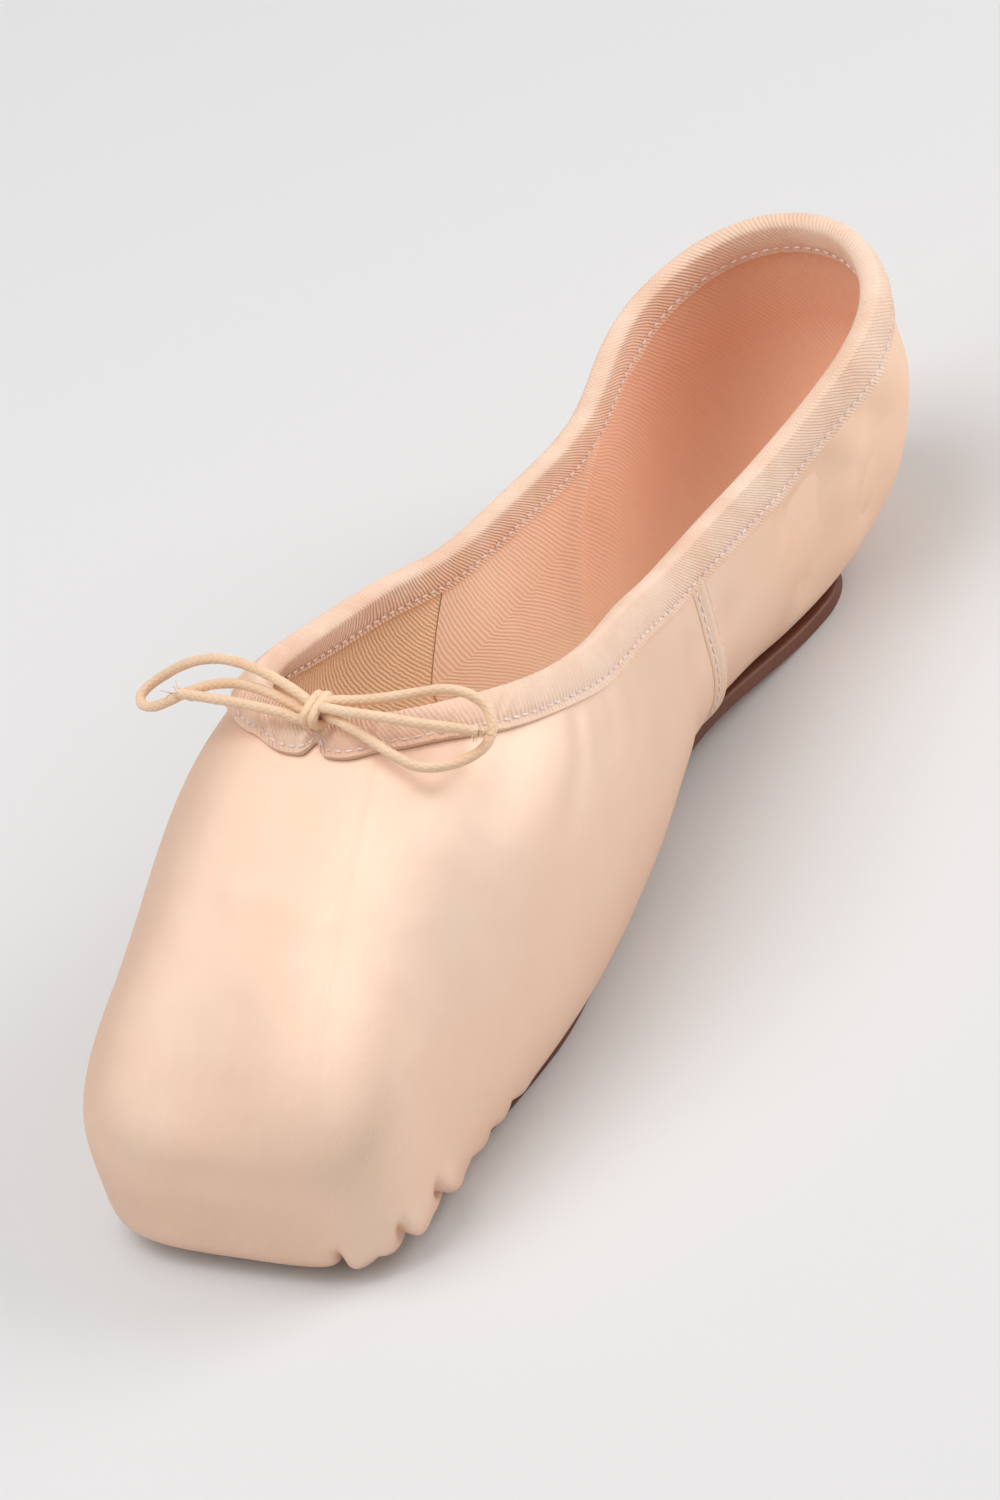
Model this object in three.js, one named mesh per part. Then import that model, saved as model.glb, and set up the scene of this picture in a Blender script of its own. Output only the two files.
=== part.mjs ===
// A pointe shoe on a straight last, standing empty on its sole.
// Millimetres, +Z up, the floor at z = 0. The toe points to -Y, the heel to +Y, and the near side is +X.
import * as THREE from "three";

// Driving sizes of the last
const shoeLength = 236;
const toeWidth = 65.6;
const ballWidth = 72;
const waistWidth = 44.5;
const heelWidth = 52;
const toeDepth = 28.5;
const heelDepth = 30;
const platformHeight = 25.5;
const instepHeight = 66;
const sideHeight = 42.2;
const heelHeight = 51.5;
const vampLength = 68;
const throatSpan = 70;
const toeSpring = 1;
const toeDrop = 2.9;
const toeDropLength = 20;
const archRise = 5;

// Driving sizes of the pieces
const quarterWall = 2;
const boxWall = 3;
const outsoleThickness = 3;
const outsoleFront = 19;
const outsoleBack = 33;
const outsoleBallWidth = 54;
const outsoleWaistWidth = 29;
const outsoleHeelWidth = 34;
const outsoleFrontDepth = 17;
const outsoleBackDepth = 17;
const treadInset = 4;
const marginWidth = 7;
const insoleThickness = 1.6;
const bindingWidth = 6.5;
const throatBindingWidth = 8.3;
const throatBindingReach = 0.12;
const bindingInside = 5.4;
const bindingThickness = 0.8;
const notchDepth = 4.5;
const notchHalfWidth = 4;
const seamWidth = 5;
const seamThickness = 0.9;
const seamTop = 145;
const seamLean = 6;
const heelStripWidth = 16;
const heelStripThickness = 0.6;
const pleatPitch = 9.5;
const pleatDepth = 1;
const stripClear = 0.9;
const stripSoleClear = 1.4;
const cordDiameter = 1.8;
const knotLength = 8;
const knotWidth = 5;
const knotHeight = 4.4;
const knotForward = 1.8;
const knotClear = 1;
const gap = 0.3;

// Powers of the rounded shapes: 2 is an ellipse, and more is squarer
const toePlanPower = 3.8;
const heelPlanPower = 2.1;
const platformPower = 5;
const outsoleFrontPower = 2.4;
const outsoleBackPower = 2.1;
const throatPower = 0.59;
const throatEndPower = 2.15;

// The place of a station, given as a share of the length from the tip
const station = (share) => (share - 0.5) * shoeLength;
const clamp = (value, low, high) => Math.min(high, Math.max(low, value));
const mix = (a, b, share) => a + (b - a) * share;
const ease = (low, high, value) => {
  const t = clamp((value - low) / (high - low), 0, 1);
  return t * t * (3 - 2 * t);
};

// A smooth line through the rows of a table that never swings past them
function curve(rows, column) {
  const at = rows.map((row) => row.y);
  const to = rows.map((row) => row[column]);
  const slope = at.slice(1).map((y, i) => (to[i + 1] - to[i]) / (y - at[i]));
  const lean = at.map((_, i) => {
    if (i === 0) return slope[0];
    if (i === at.length - 1) return slope[i - 1];
    if (slope[i - 1] * slope[i] <= 0) return 0;
    return (2 * slope[i - 1] * slope[i]) / (slope[i - 1] + slope[i]);
  });
  return (value) => {
    const y = clamp(value, at[0], at[at.length - 1]);
    let i = 0;
    while (i < at.length - 2 && y > at[i + 1]) i += 1;
    const span = at[i + 1] - at[i];
    const t = (y - at[i]) / span;
    const rise = (3 - 2 * t) * t * t;
    const start = t * (1 - t) * (1 - t) * span * lean[i];
    const end = t * t * (t - 1) * span * lean[i + 1];
    return mix(to[i], to[i + 1], rise) + start + end;
  };
}

// The last, a row for each station
const planRows = [
  { y: -0.5 * shoeLength, half: 0.5 * toeWidth },
  { y: -0.5 * shoeLength + toeDepth, half: 0.5 * toeWidth },
  { y: station(0.29), half: 0.5 * ballWidth },
  { y: station(0.44), half: 0.444 * ballWidth },
  { y: station(0.605), half: 0.53 * waistWidth },
  { y: station(0.755), half: 0.5 * waistWidth },
  { y: 0.5 * shoeLength - heelDepth, half: 0.5 * heelWidth },
  { y: 0.5 * shoeLength, half: 0.5 * heelWidth },
];
const crownRows = [
  { y: station(0), height: platformHeight },
  { y: station(0.14), height: 0.725 * instepHeight },
  { y: station(0.31), height: 1.03 * instepHeight },
  { y: station(0.46), height: 1.12 * instepHeight },
  { y: station(0.755), height: 1.27 * instepHeight },
  { y: station(1), height: 1.4 * instepHeight },
];
const widestRows = [
  { y: station(0), height: 0.43 * platformHeight },
  { y: station(0.29), height: 0.47 * instepHeight },
  { y: station(0.585), height: 0.62 * sideHeight },
  { y: station(1), height: 0.58 * heelHeight },
];
const collarRows = [
  { y: station(0.415), height: 1.2 * sideHeight },
  { y: station(0.5), height: 1.205 * sideHeight },
  { y: station(0.585), height: 1.11 * sideHeight },
  { y: station(0.66), height: 1.06 * sideHeight },
  { y: station(0.77), height: sideHeight },
  { y: station(0.86), height: 1.08 * sideHeight },
  { y: station(0.93), height: 0.926 * heelHeight },
  { y: station(1), height: heelHeight },
];
const topPowerRows = [
  { y: station(0.127), power: 3.5 },
  { y: station(0.33), power: 2.55 },
  { y: station(0.5), power: 2.3 },
  { y: station(1), power: 2.2 },
];
const roundPowerRows = [
  { y: station(0), power: 6 },
  { y: station(0.29), power: 2.8 },
  { y: station(0.6), power: 2.1 },
  { y: station(1), power: 1.85 },
];
const soleRows = [
  { y: station(0), height: toeSpring },
  { y: station(0.14), height: 0.2 * toeSpring },
  { y: station(0.24), height: 0 },
  { y: station(0.36), height: 0 },
  { y: station(0.6), height: archRise },
  { y: station(0.78), height: 0 },
  { y: station(0.9), height: 0 },
  { y: station(1), height: 0.3 * toeSpring },
];
const outsoleRows = [
  { y: station(0.12), half: 0.455 * outsoleBallWidth },
  { y: station(0.27), half: 0.5 * outsoleBallWidth },
  { y: station(0.4), half: 0.415 * outsoleBallWidth },
  { y: station(0.6), half: 0.5 * outsoleWaistWidth },
  { y: station(0.7), half: 0.53 * outsoleWaistWidth },
  { y: station(0.81), half: 0.5 * outsoleHeelWidth },
];
const crown = curve(crownRows, "height");
const widest = curve(widestRows, "height");
const collar = curve(collarRows, "height");
const topPower = curve(topPowerRows, "power");
const roundPower = curve(roundPowerRows, "power");
const soleLine = curve(soleRows, "height");

// Half of a closed outline seen from above: a rounded front, sides from a table and a rounded back
function outline({ front, back, frontDepth, backDepth, frontPower, backPower, half }) {
  const frontEnd = front + frontDepth;
  const backStart = back - backDepth;
  const width = (y) => half(clamp(y, frontEnd, backStart));
  const powerAt = (y) => (y < frontEnd ? frontPower : backPower);
  const depthAt = (y) => Math.max(0, (frontEnd - y) / frontDepth, (y - backStart) / backDepth);
  const reach = (y) => width(y) * (1 - Math.min(1, depthAt(y)) ** powerAt(y)) ** (1 / powerAt(y));
  const gauge = (x, y) => {
    const power = powerAt(y);
    return Math.min(1, ((Math.abs(x) / width(y)) ** power + depthAt(y) ** power) ** (1 / power));
  };
  const steps = 240;
  const points = [];
  for (let i = 0; i <= steps; i += 1) {
    const turn = (i / steps) * Math.PI;
    const y = mix(front, back, 0.5 - 0.5 * Math.cos(turn));
    points.push([reach(y), y, 0]);
  }
  return { reach, gauge, at: byLength(points) };
}

// A point on a line of points by its share of the line's length
function byLength(points) {
  const run = [0];
  for (let i = 1; i < points.length; i += 1) {
    run.push(run[i - 1] + Math.hypot(...points[i].map((value, k) => value - points[i - 1][k])));
  }
  const total = run[run.length - 1];
  const at = (share) => {
    const want = clamp(share, 0, 1) * total;
    let i = 0;
    while (i < points.length - 2 && run[i + 1] < want) i += 1;
    const t = (want - run[i]) / Math.max(run[i + 1] - run[i], 1e-9);
    return points[i].map((value, k) => mix(value, points[i + 1][k], t));
  };
  at.total = total;
  at.shareAt = (y) => run[points.findIndex((point) => point[1] >= y)] / total;
  return at;
}

const shoePlan = outline({
  front: -0.5 * shoeLength,
  back: 0.5 * shoeLength,
  frontDepth: toeDepth,
  backDepth: heelDepth,
  frontPower: toePlanPower,
  backPower: heelPlanPower,
  half: curve(planRows, "half"),
});

// The outsole's outline, drawn in by an inset
function solePlan(inset) {
  const half = curve(outsoleRows, "half");
  return outline({
    front: -0.5 * shoeLength + outsoleFront + inset,
    back: 0.5 * shoeLength - outsoleBack - inset,
    frontDepth: outsoleFrontDepth,
    backDepth: outsoleBackDepth,
    frontPower: outsoleFrontPower,
    backPower: outsoleBackPower,
    half: (y) => half(y) - inset,
  });
}
const treadPlan = solePlan(treadInset);
const openingPlan = solePlan(treadInset + marginWidth);

// The power of the section's upper half grows towards the tip, where the platform is square
function sectionPower(y) {
  const ahead = clamp((-0.5 * shoeLength + toeDepth - y) / toeDepth, 0, 1);
  return mix(topPower(y), platformPower, ahead);
}

// Height of the upper's outer skin over a point of the plan, above the widest level
function topHeight(x, y) {
  const power = sectionPower(y);
  const gauge = shoePlan.gauge(x, y);
  const rise = (1 - gauge ** power) ** (1 / power);
  return mix(widest(y), crown(y), rise);
}

// Height of the upper's flat underside, which dips before the outsole, under the tip
const dipAt = (y) => toeDrop * (1 - ease(-0.5 * shoeLength, -0.5 * shoeLength + toeDropLength, y));
const underside = (y) => soleLine(y) + outsoleThickness + gap - dipAt(y);

// The collar's edge from the throat to the heel, on the upper's outer skin
function collarEdge() {
  const throat = -0.5 * shoeLength + vampLength;
  const backStart = 0.5 * shoeLength - heelDepth;
  const steps = 160;
  const points = [];
  const sectionAngle = (y) => {
    const share = clamp((collar(y) - widest(y)) / (crown(y) - widest(y)), 0, 1);
    return Math.asin(share ** (sectionPower(y) / 2));
  };
  for (let i = 0; i <= steps; i += 1) {
    const y = mix(throat, backStart, (i / steps) ** 1.8);
    const short = 1 - clamp((y - throat) / throatSpan, 0, 1);
    const ahead = (1 - short ** throatEndPower) ** throatPower;
    const angle = mix(Math.PI / 2, sectionAngle(y), ahead);
    const gauge = Math.cos(angle) ** (2 / sectionPower(y));
    const rise = Math.sin(angle) ** (2 / sectionPower(y));
    const x = i === 0 ? 0 : shoePlan.reach(y) * gauge;
    points.push([x, y, mix(widest(y), crown(y), rise)]);
  }
  const turnSteps = 60;
  for (let i = 1; i <= turnSteps; i += 1) {
    const turn = (0.5 * Math.PI * i) / turnSteps;
    const along = heelDepth * Math.sin(turn) ** (2 / heelPlanPower);
    const across = i === turnSteps ? 0 : 0.5 * heelWidth * Math.cos(turn) ** (2 / heelPlanPower);
    let inner = 0;
    let outer = 1;
    for (let k = 0; k < 40; k += 1) {
      const share = 0.5 * (inner + outer);
      const y = backStart + along * share;
      if (topHeight(across * share, y) > collar(y)) inner = share;
      else outer = share;
    }
    points.push([across * inner, backStart + along * inner, collar(backStart + along * inner)]);
  }
  return byLength(points);
}
const collarLine = collarEdge();

// Lines over the skin run from the collar down to the widest level, round to the tread, and in to the opening.
// The collar's share of its length gives the outline's share: from the waist back the lines run straight down.
const waistY = station(0.585);
const shareRows = [
  { y: 0, share: 0 },
  { y: collarLine.shareAt(waistY), share: shoePlan.at.shareAt(waistY) },
  { y: 1, share: 1 },
];
const planShare = curve(shareRows, "share");

function makeLine(share) {
  const rim = collarLine(share);
  const wide = shoePlan.at(planShare(share));
  const tread = treadPlan.at(planShare(share));
  const hole = openingPlan.at(planShare(share));
  const steps = 60;
  const top = [];
  const round = [];
  for (let i = 0; i <= steps; i += 1) {
    const t = i / steps;
    const power = sectionPower(mix(rim[1], wide[1], t));
    const out = 1 - (1 - t) ** power;
    const x = mix(rim[0], wide[0], out);
    const y = mix(rim[1], wide[1], out);
    top.push([x, y, i === 0 ? rim[2] : topHeight(x, y)]);
    const angle = 0.5 * Math.PI * t;
    const turn = 1 - Math.cos(angle) ** (2 / roundPower(wide[1]));
    const drop = Math.sin(angle) ** (2 / roundPower(wide[1]));
    const inX = mix(wide[0], tread[0], turn);
    const inY = mix(wide[1], tread[1], turn);
    round.push([inX, inY, mix(widest(wide[1]), underside(inY), drop)]);
  }
  top[steps][2] = widest(wide[1]);
  const flat = [0, 0.25, 0.5, 0.75, 1].map((t) => {
    const y = mix(tread[1], hole[1], t);
    return [mix(tread[0], hole[0], t), y, underside(y)];
  });
  return [byLength(top), byLength(round), byLength(flat)];
}

const lineStore = new Map();
function skinLine(share) {
  const key = share.toFixed(7);
  if (!lineStore.has(key)) lineStore.set(key, makeLine(share));
  return lineStore.get(key);
}

// A point of the outer skin. Around: 0 throat, 1 heel, negative on the far side. Down: 0 collar, 1 widest level,
// 2 edge of the tread, 3 edge of the opening.
function skin(around, down) {
  const turned = around > 1 ? around - 2 : around < -1 ? around + 2 : around;
  const line = skinLine(Math.abs(turned));
  const part = clamp(Math.floor(down), 0, 2);
  const point = new THREE.Vector3(...line[part](down - part));
  if (turned < 0) point.x = -point.x;
  return point;
}

function skinNormal(around, down) {
  const step = 0.004;
  const across = skin(around + step, down).sub(skin(around - step, down));
  const below = skin(around, Math.min(3, down + step)).sub(skin(around, Math.max(0, down - step)));
  return below.cross(across).normalize();
}

// A point off the skin, outwards where the offset is positive
const offSkin = (around, down, offset) => skin(around, down).addScaledVector(skinNormal(around, down), offset);

// A point at a distance below the collar's edge, measured square to the edge, or above it where it is negative
function belowCollar(around, distance, offset) {
  const step = 0.004;
  const edge = skin(around + step, 0).sub(skin(around - step, 0)).normalize();
  const fall = skin(around, step).sub(skin(around, 0)).normalize();
  const slant = Math.max(0.5, edge.clone().cross(fall).length());
  const run = distance / slant / skinLine(Math.abs(around))[0].total;
  if (distance >= 0) return offSkin(around, run, offset);
  return offSkin(around, 0, offset).addScaledVector(fall, distance);
}

const wallAt = (y) => mix(boxWall, quarterWall, ease(station(0.2), station(0.38), y));

// Joins rings of points into one closed surface, either round to the first ring or capped across the first and last
function joinRings(rings, closed) {
  const size = rings[0].length;
  const index = [];
  const last = closed ? rings.length : rings.length - 1;
  for (let i = 0; i < last; i += 1) {
    const here = i * size;
    const next = ((i + 1) % rings.length) * size;
    for (let j = 0; j < size; j += 1) {
      const k = (j + 1) % size;
      index.push(here + j, here + k, next + j, next + j, here + k, next + k);
    }
  }
  if (!closed) {
    const end = (rings.length - 1) * size;
    for (let j = 0; j < size / 2 - 1; j += 1) {
      const k = size - 1 - j;
      index.push(j, k, j + 1, j + 1, k, k - 1);
      index.push(end + j, end + j + 1, end + k, end + j + 1, end + k - 1, end + k);
    }
  }
  const geometry = new THREE.BufferGeometry();
  const flat = rings.flat().flatMap((point) => [point.x, point.y, point.z]);
  geometry.setAttribute("position", new THREE.Float32BufferAttribute(flat, 3));
  geometry.setIndex(index);
  return geometry;
}

// Pleats gather the upper under the toe, and fade out up the wall and before the outsole
const pleatZone = 0.26;
const pleatHead = { from: 1.05, to: 1.45 };
const pleatFoot = { from: 1.6, to: 1.8 };
const pleatSide = { from: 0.75, to: 1 };
const pleatCount = Math.round((2 * pleatZone * shoePlan.at.total) / pleatPitch);
function pleatRelief(around, down) {
  const place = planShare(Math.abs(around)) / pleatZone;
  const side = 1 - ease(pleatSide.from, pleatSide.to, place);
  const foot = 1 - ease(pleatFoot.from, pleatFoot.to, down);
  const window = side * foot * ease(pleatHead.from, pleatHead.to, down);
  const phase = (0.5 + 0.5 * place * Math.sign(around)) * pleatCount;
  return window * pleatDepth * (0.5 - 0.5 * Math.cos(2 * Math.PI * phase));
}

// Places round the shoe: close together over the pleats, wider apart along the sides and the heel
const pleatAround = 0.2;
function placesRound(zoneSteps) {
  const zone = pleatAround;
  const sideSteps = 40;
  const places = [];
  for (let i = 0; i < zoneSteps; i += 1) places.push(mix(-zone, zone, i / zoneSteps));
  for (let i = 0; i < sideSteps; i += 1) {
    const around = mix(zone, 2 - zone, i / sideSteps);
    places.push(around > 1 ? around - 2 : around);
  }
  return places;
}

// The upper: one wall with its outer face, its lasting margin and its inner face
function upper() {
  const places = placesRound(4 * pleatCount);
  const outside = [0, 0.09, 0.18, 0.3, 0.45, 0.6, 0.75, 0.88, 1, 1.2, 1.4, 1.55, 1.7, 1.85, 1.94, 2, 3];
  const inside = [3, 2, 1.9, 1.75, 1.55, 1.3, 1, 0.8, 0.55, 0.3, 0.18, 0.09, 0];
  const rings = places.map((around) => {
    const outer = outside.map((down) => offSkin(around, down, pleatRelief(around, down)));
    const inner = inside.map((down) => offSkin(around, down, -wallAt(skin(around, down).y)));
    return outer.concat(inner);
  });
  return joinRings(rings, true);
}

// The binding: a channel folded over the collar's edge, with a notch at the throat where the cord comes out
function collarBinding() {
  const outer = gap + bindingThickness;
  const rings = placesRound(2 * pleatCount).map((around) => {
    const fromThroat = Math.abs(around) * collarLine.total;
    const width = mix(throatBindingWidth, bindingWidth, ease(0, throatBindingReach, Math.abs(around)));
    const foot = width - notchDepth * Math.max(0, 1 - fromThroat / notchHalfWidth);
    const outside = (distance, offset) => belowCollar(around, distance, offset);
    const inside = (distance, offset) => {
      const wall = wallAt(belowCollar(around, Math.max(0, distance), 0).y);
      return belowCollar(around, distance, -wall - offset);
    };
    return [
      outside(foot, gap),
      outside(0.5 * foot, gap),
      outside(0, gap),
      outside(-gap, gap),
      inside(-gap, gap),
      inside(0, gap),
      inside(0.5 * bindingInside, gap),
      inside(bindingInside, gap),
      inside(bindingInside, outer),
      inside(0.5 * bindingInside, outer),
      inside(0, outer),
      inside(-outer, outer),
      outside(-outer, outer),
      outside(0, outer),
      outside(0.5 * foot, outer),
      outside(foot, outer),
    ];
  });
  return joinRings(rings, true);
}

// A flat plate cut to an outline and laid along the sole's line
function plate(inset, low, high) {
  const plan = solePlan(inset);
  const front = -0.5 * shoeLength + outsoleFront + inset;
  const back = 0.5 * shoeLength - outsoleBack - inset;
  const steps = 34;
  const index = [];
  const points = [];
  for (let i = 0; i <= steps; i += 1) {
    const y = mix(front, back, 0.5 - 0.5 * Math.cos((Math.PI * i) / steps));
    const half = i === 0 || i === steps ? 0 : plan.reach(y);
    points.push(-half, y, low(y), half, y, low(y), half, y, high(y), -half, y, high(y));
    if (i === steps) break;
    const here = 4 * i;
    for (let j = 0; j < 4; j += 1) {
      const k = (j + 1) % 4;
      index.push(here + j, here + 4 + j, here + k, here + k, here + 4 + j, here + 4 + k);
    }
  }
  const geometry = new THREE.BufferGeometry();
  geometry.setAttribute("position", new THREE.Float32BufferAttribute(points, 3));
  geometry.setIndex(index);
  return geometry;
}

function outsole() {
  return plate(0, soleLine, (y) => soleLine(y) + outsoleThickness);
}

function insole() {
  const low = (y) => underside(y) + wallAt(y) + gap;
  return plate(treadInset, low, (y) => low(y) + insoleThickness);
}

// How far down a line over the skin comes to the outsole's outline, kept clear of it
function soleEdge(around) {
  const clear = solePlan(-stripSoleClear);
  let high = 1;
  let low = 2;
  for (let k = 0; k < 24; k += 1) {
    const down = 0.5 * (high + low);
    const point = skin(around, down);
    if (clear.gauge(point.x, point.y) >= 1) high = down;
    else low = down;
  }
  return high;
}

// The line over the skin that passes a place along the shoe, at a given way down
function aroundAt(y, down) {
  let front = 0;
  let back = 1;
  for (let k = 0; k < 24; k += 1) {
    const around = 0.5 * (front + back);
    if (skin(around, down).y < y) front = around;
    else back = around;
  }
  return front;
}

// A strip laid over the skin along a path, thicker along its middle by the given ridge
function strip(path, width, thickness, ridge, steps) {
  const shares = [1, 0.5, 0, -0.5, -1];
  const step = 0.002;
  const rings = [];
  for (let i = 0; i <= steps; i += 1) {
    const [around, down] = path(i / steps);
    const pace = skin(around + step, down).distanceTo(skin(around - step, down)) / (2 * step);
    const beside = (share) => around + (0.5 * width * share) / pace;
    const face = (share) => gap + thickness + ridge * (1 - share * share);
    const outer = shares.map((share) => offSkin(beside(share), down, face(share)));
    const inner = shares.map((share) => offSkin(beside(share), down, gap)).reverse();
    rings.push(outer.concat(inner));
  }
  return joinRings(rings, false);
}

const underBinding = (around) => (bindingWidth + stripClear) / skinLine(Math.abs(around))[0].total;

function sideSeam(side) {
  const topY = -0.5 * shoeLength + seamTop;
  const high = underBinding(aroundAt(topY, 0));
  const low = soleEdge(aroundAt(topY - seamLean, 2));
  const path = (share) => {
    const down = mix(high, low, share);
    return [side * aroundAt(topY - seamLean * share, down), down];
  };
  return strip(path, seamWidth, 0.4 * seamThickness, 0.6 * seamThickness, 16);
}

function heelStrip() {
  const path = (share) => [1, mix(underBinding(1), soleEdge(1), share)];
  return strip(path, heelStripWidth, heelStripThickness, 0, 16);
}

// The drawstring's bow, its points given from the knot's centre
const routes = {
  loop_left: [
    [-2.9, 1, 1.5], [-6.1, 2.1, 2.4], [-10.1, 3.5, 3], [-14.6, 4.9, 3.3], [-19.1, 6.2, 3.1], [-24.1, 7.2, 2.5],
    [-29, 7.7, 1.1], [-33.5, 8.1, -1], [-37.2, 8, -3.1], [-40.1, 6.8, -4.7], [-41.1, 4.8, -5.5],
    [-39.9, 2.9, -5.8], [-37, 1.9, -5.3], [-32.9, 1.7, -3.5], [-28, 2, -1.1], [-22.6, 2.4, 0.8],
    [-17.1, 2.4, 1.6], [-11.6, 1.9, 1.1], [-6.5, 1, 0], [-2.8, 0.1, -0.8],
  ],
  end_left: [
    [-2.8, -1.9, -0.9], [-6.1, -1.7, -0.2], [-10.1, -1.6, 0.3], [-15.1, -1.2, 0.5], [-20.1, -0.9, 0.5], [-24.2, -0.5, 0.4],
    [-28.2, -0.2, 0.3],
  ],
  loop_right: [
    [2.7, 0.8, 1.4], [6.5, 1.3, 1.6], [10.5, 2, 1.8], [14.5, 3.1, 2], [18.6, 4.7, 2.1], [22.7, 6.8, 1.6],
    [26.4, 8.1, -0.3], [28.9, 7.9, -3], [30.2, 5.6, -5.4], [30, 2.2, -6.5], [28.1, -1.4, -6.5],
    [25.4, -4.3, -5.9], [21.9, -5.9, -5], [17.6, -5.6, -3.4], [13.1, -4.3, -2.1], [8.5, -2.8, -1.1],
    [5, -1.6, -0.7], [2.8, -1, -0.6],
  ],
  end_right: [
    [2.7, -1.3, 1.6], [6.4, -1.5, 1.5], [10.9, -1.5, 1.3], [16, -1.2, 0.8], [21.1, -0.5, -0.2], [26.2, 0.6, -1.3],
    [30.4, 1.9, -2.7],
  ],
};

function cord(points) {
  const path = new THREE.CatmullRomCurve3(points.map((point) => new THREE.Vector3(...point)));
  const sides = 8;
  const round = [];
  for (let i = 0; i < sides; i += 1) {
    const turn = (2 * Math.PI * i) / sides;
    round.push(new THREE.Vector2(0.5 * cordDiameter * Math.cos(turn), 0.5 * cordDiameter * Math.sin(turn)));
  }
  const steps = points.length + 3;
  return new THREE.ExtrudeGeometry(new THREE.Shape(round), { steps, bevelEnabled: false, extrudePath: path });
}

function knot() {
  const ball = new THREE.SphereGeometry(0.5, 16, 10);
  return ball.scale(knotWidth, knotLength, knotHeight);
}

const satin = () => new THREE.MeshStandardMaterial({ color: 0xeecdb6, roughness: 0.38, metalness: 0 });
const shoe = new THREE.Group();
function add(name, geometry, material, holder = shoe) {
  const mesh = new THREE.Mesh(geometry, material);
  mesh.name = name;
  holder.add(mesh);
}
add("outsole", outsole(), new THREE.MeshStandardMaterial({ color: 0xb07b60, roughness: 0.65, metalness: 0 }));
add("insole", insole(), new THREE.MeshStandardMaterial({ color: 0xdcb48f, roughness: 0.9, metalness: 0 }));
add("upper", upper(), satin());
add("collar_binding", collarBinding(), new THREE.MeshStandardMaterial({ color: 0xf1cfbb, roughness: 0.9 }));
add("side_seam_right", sideSeam(1), satin());
add("side_seam_left", sideSeam(-1), satin());
add("heel_strip", heelStrip(), satin());

const bow = new THREE.Group();
const knotY = -0.5 * shoeLength + vampLength - knotForward;
const bindingTop = topHeight(0, knotY) + gap + bindingThickness;
bow.position.set(0, knotY, bindingTop + knotClear + 0.5 * knotHeight);
shoe.add(bow);
const elastic = () => new THREE.MeshStandardMaterial({ color: 0xefcfae, roughness: 0.7, metalness: 0 });
add("knot", knot(), elastic(), bow);
for (const [name, points] of Object.entries(routes)) add(name, cord(points), elastic(), bow);

export default shoe;
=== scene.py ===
"""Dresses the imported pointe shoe: satin, binding, seams, linings, outsole, stitches and the drawstring's bow.

The toe points to -Y, the heel to +Y, and the near side is +X. Lengths are in millimetres until they meet Blender.
"""
import math

import bmesh
import bpy
import numpy as np
from mathutils import Matrix, Vector


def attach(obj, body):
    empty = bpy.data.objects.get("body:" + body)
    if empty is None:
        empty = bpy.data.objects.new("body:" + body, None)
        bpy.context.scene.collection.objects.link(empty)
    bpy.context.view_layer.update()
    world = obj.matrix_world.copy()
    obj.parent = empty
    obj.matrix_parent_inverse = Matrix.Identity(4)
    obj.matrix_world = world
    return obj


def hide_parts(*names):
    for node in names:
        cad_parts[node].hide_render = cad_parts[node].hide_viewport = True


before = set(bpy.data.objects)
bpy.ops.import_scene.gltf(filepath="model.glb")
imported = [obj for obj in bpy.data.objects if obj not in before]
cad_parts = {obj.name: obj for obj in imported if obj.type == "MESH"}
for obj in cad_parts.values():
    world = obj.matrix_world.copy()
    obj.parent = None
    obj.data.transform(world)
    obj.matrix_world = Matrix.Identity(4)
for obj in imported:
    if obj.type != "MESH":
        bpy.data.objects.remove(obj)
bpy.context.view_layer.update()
MM = 0.001

# Driving sizes of the last, as the solids have them
LENGTH = 236.0
TOE_WIDTH = 65.6
BALL_WIDTH = 72.0
WAIST_WIDTH = 44.5
HEEL_WIDTH = 52.0
TOE_DEPTH = 28.5
HEEL_DEPTH = 30.0
PLATFORM_HEIGHT = 25.5
INSTEP_HEIGHT = 66.0
SIDE_HEIGHT = 42.2
HEEL_HEIGHT = 51.5
VAMP_LENGTH = 68.0
THROAT_SPAN = 70.0
TOE_SPRING = 1.0
TOE_DROP = 2.9
TOE_DROP_LENGTH = 20.0
ARCH_RISE = 5.0
QUARTER_WALL = 2.0
BOX_WALL = 3.0
OUTSOLE_THICKNESS = 3.0
OUTSOLE_FRONT = 19.0
OUTSOLE_BACK = 33.0
OUTSOLE_BALL = 54.0
OUTSOLE_WAIST = 29.0
OUTSOLE_HEEL = 34.0
OUTSOLE_FRONT_DEPTH = 17.0
OUTSOLE_BACK_DEPTH = 17.0
TREAD_INSET = 4.0
MARGIN = 7.0
INSOLE_THICKNESS = 1.6
BINDING_WIDTH = 6.5
THROAT_BINDING_WIDTH = 8.3
THROAT_BINDING_REACH = 0.12
BINDING_INSIDE = 5.4
BINDING_THICKNESS = 0.8
SEAM_WIDTH = 5.0
SEAM_TOP = 145.0
SEAM_LEAN = 3.0
HEEL_STRIP_WIDTH = 16.0
CORD = 1.8
KNOT_HEIGHT = 4.4
KNOT_FORWARD = 1.8
KNOT_CLEAR = 1.0
GAP = 0.3
TOE_POWER = 3.8
HEEL_POWER = 2.1
PLATFORM_POWER = 5.0
SOLE_FRONT_POWER = 2.4
SOLE_BACK_POWER = 2.1
THROAT_POWER = 0.59
THROAT_END_POWER = 2.15
PLEAT_ZONE = 0.26


def station(share):
    return (share - 0.5) * LENGTH


def mix(a, b, t):
    return a + (b - a) * t


def ease(low, high, value):
    t = np.clip((value - low) / (high - low), 0, 1)
    return t * t * (3 - 2 * t)


def unit(v):
    return v / (np.linalg.norm(v, axis=-1, keepdims=True) + 1e-12)


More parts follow.
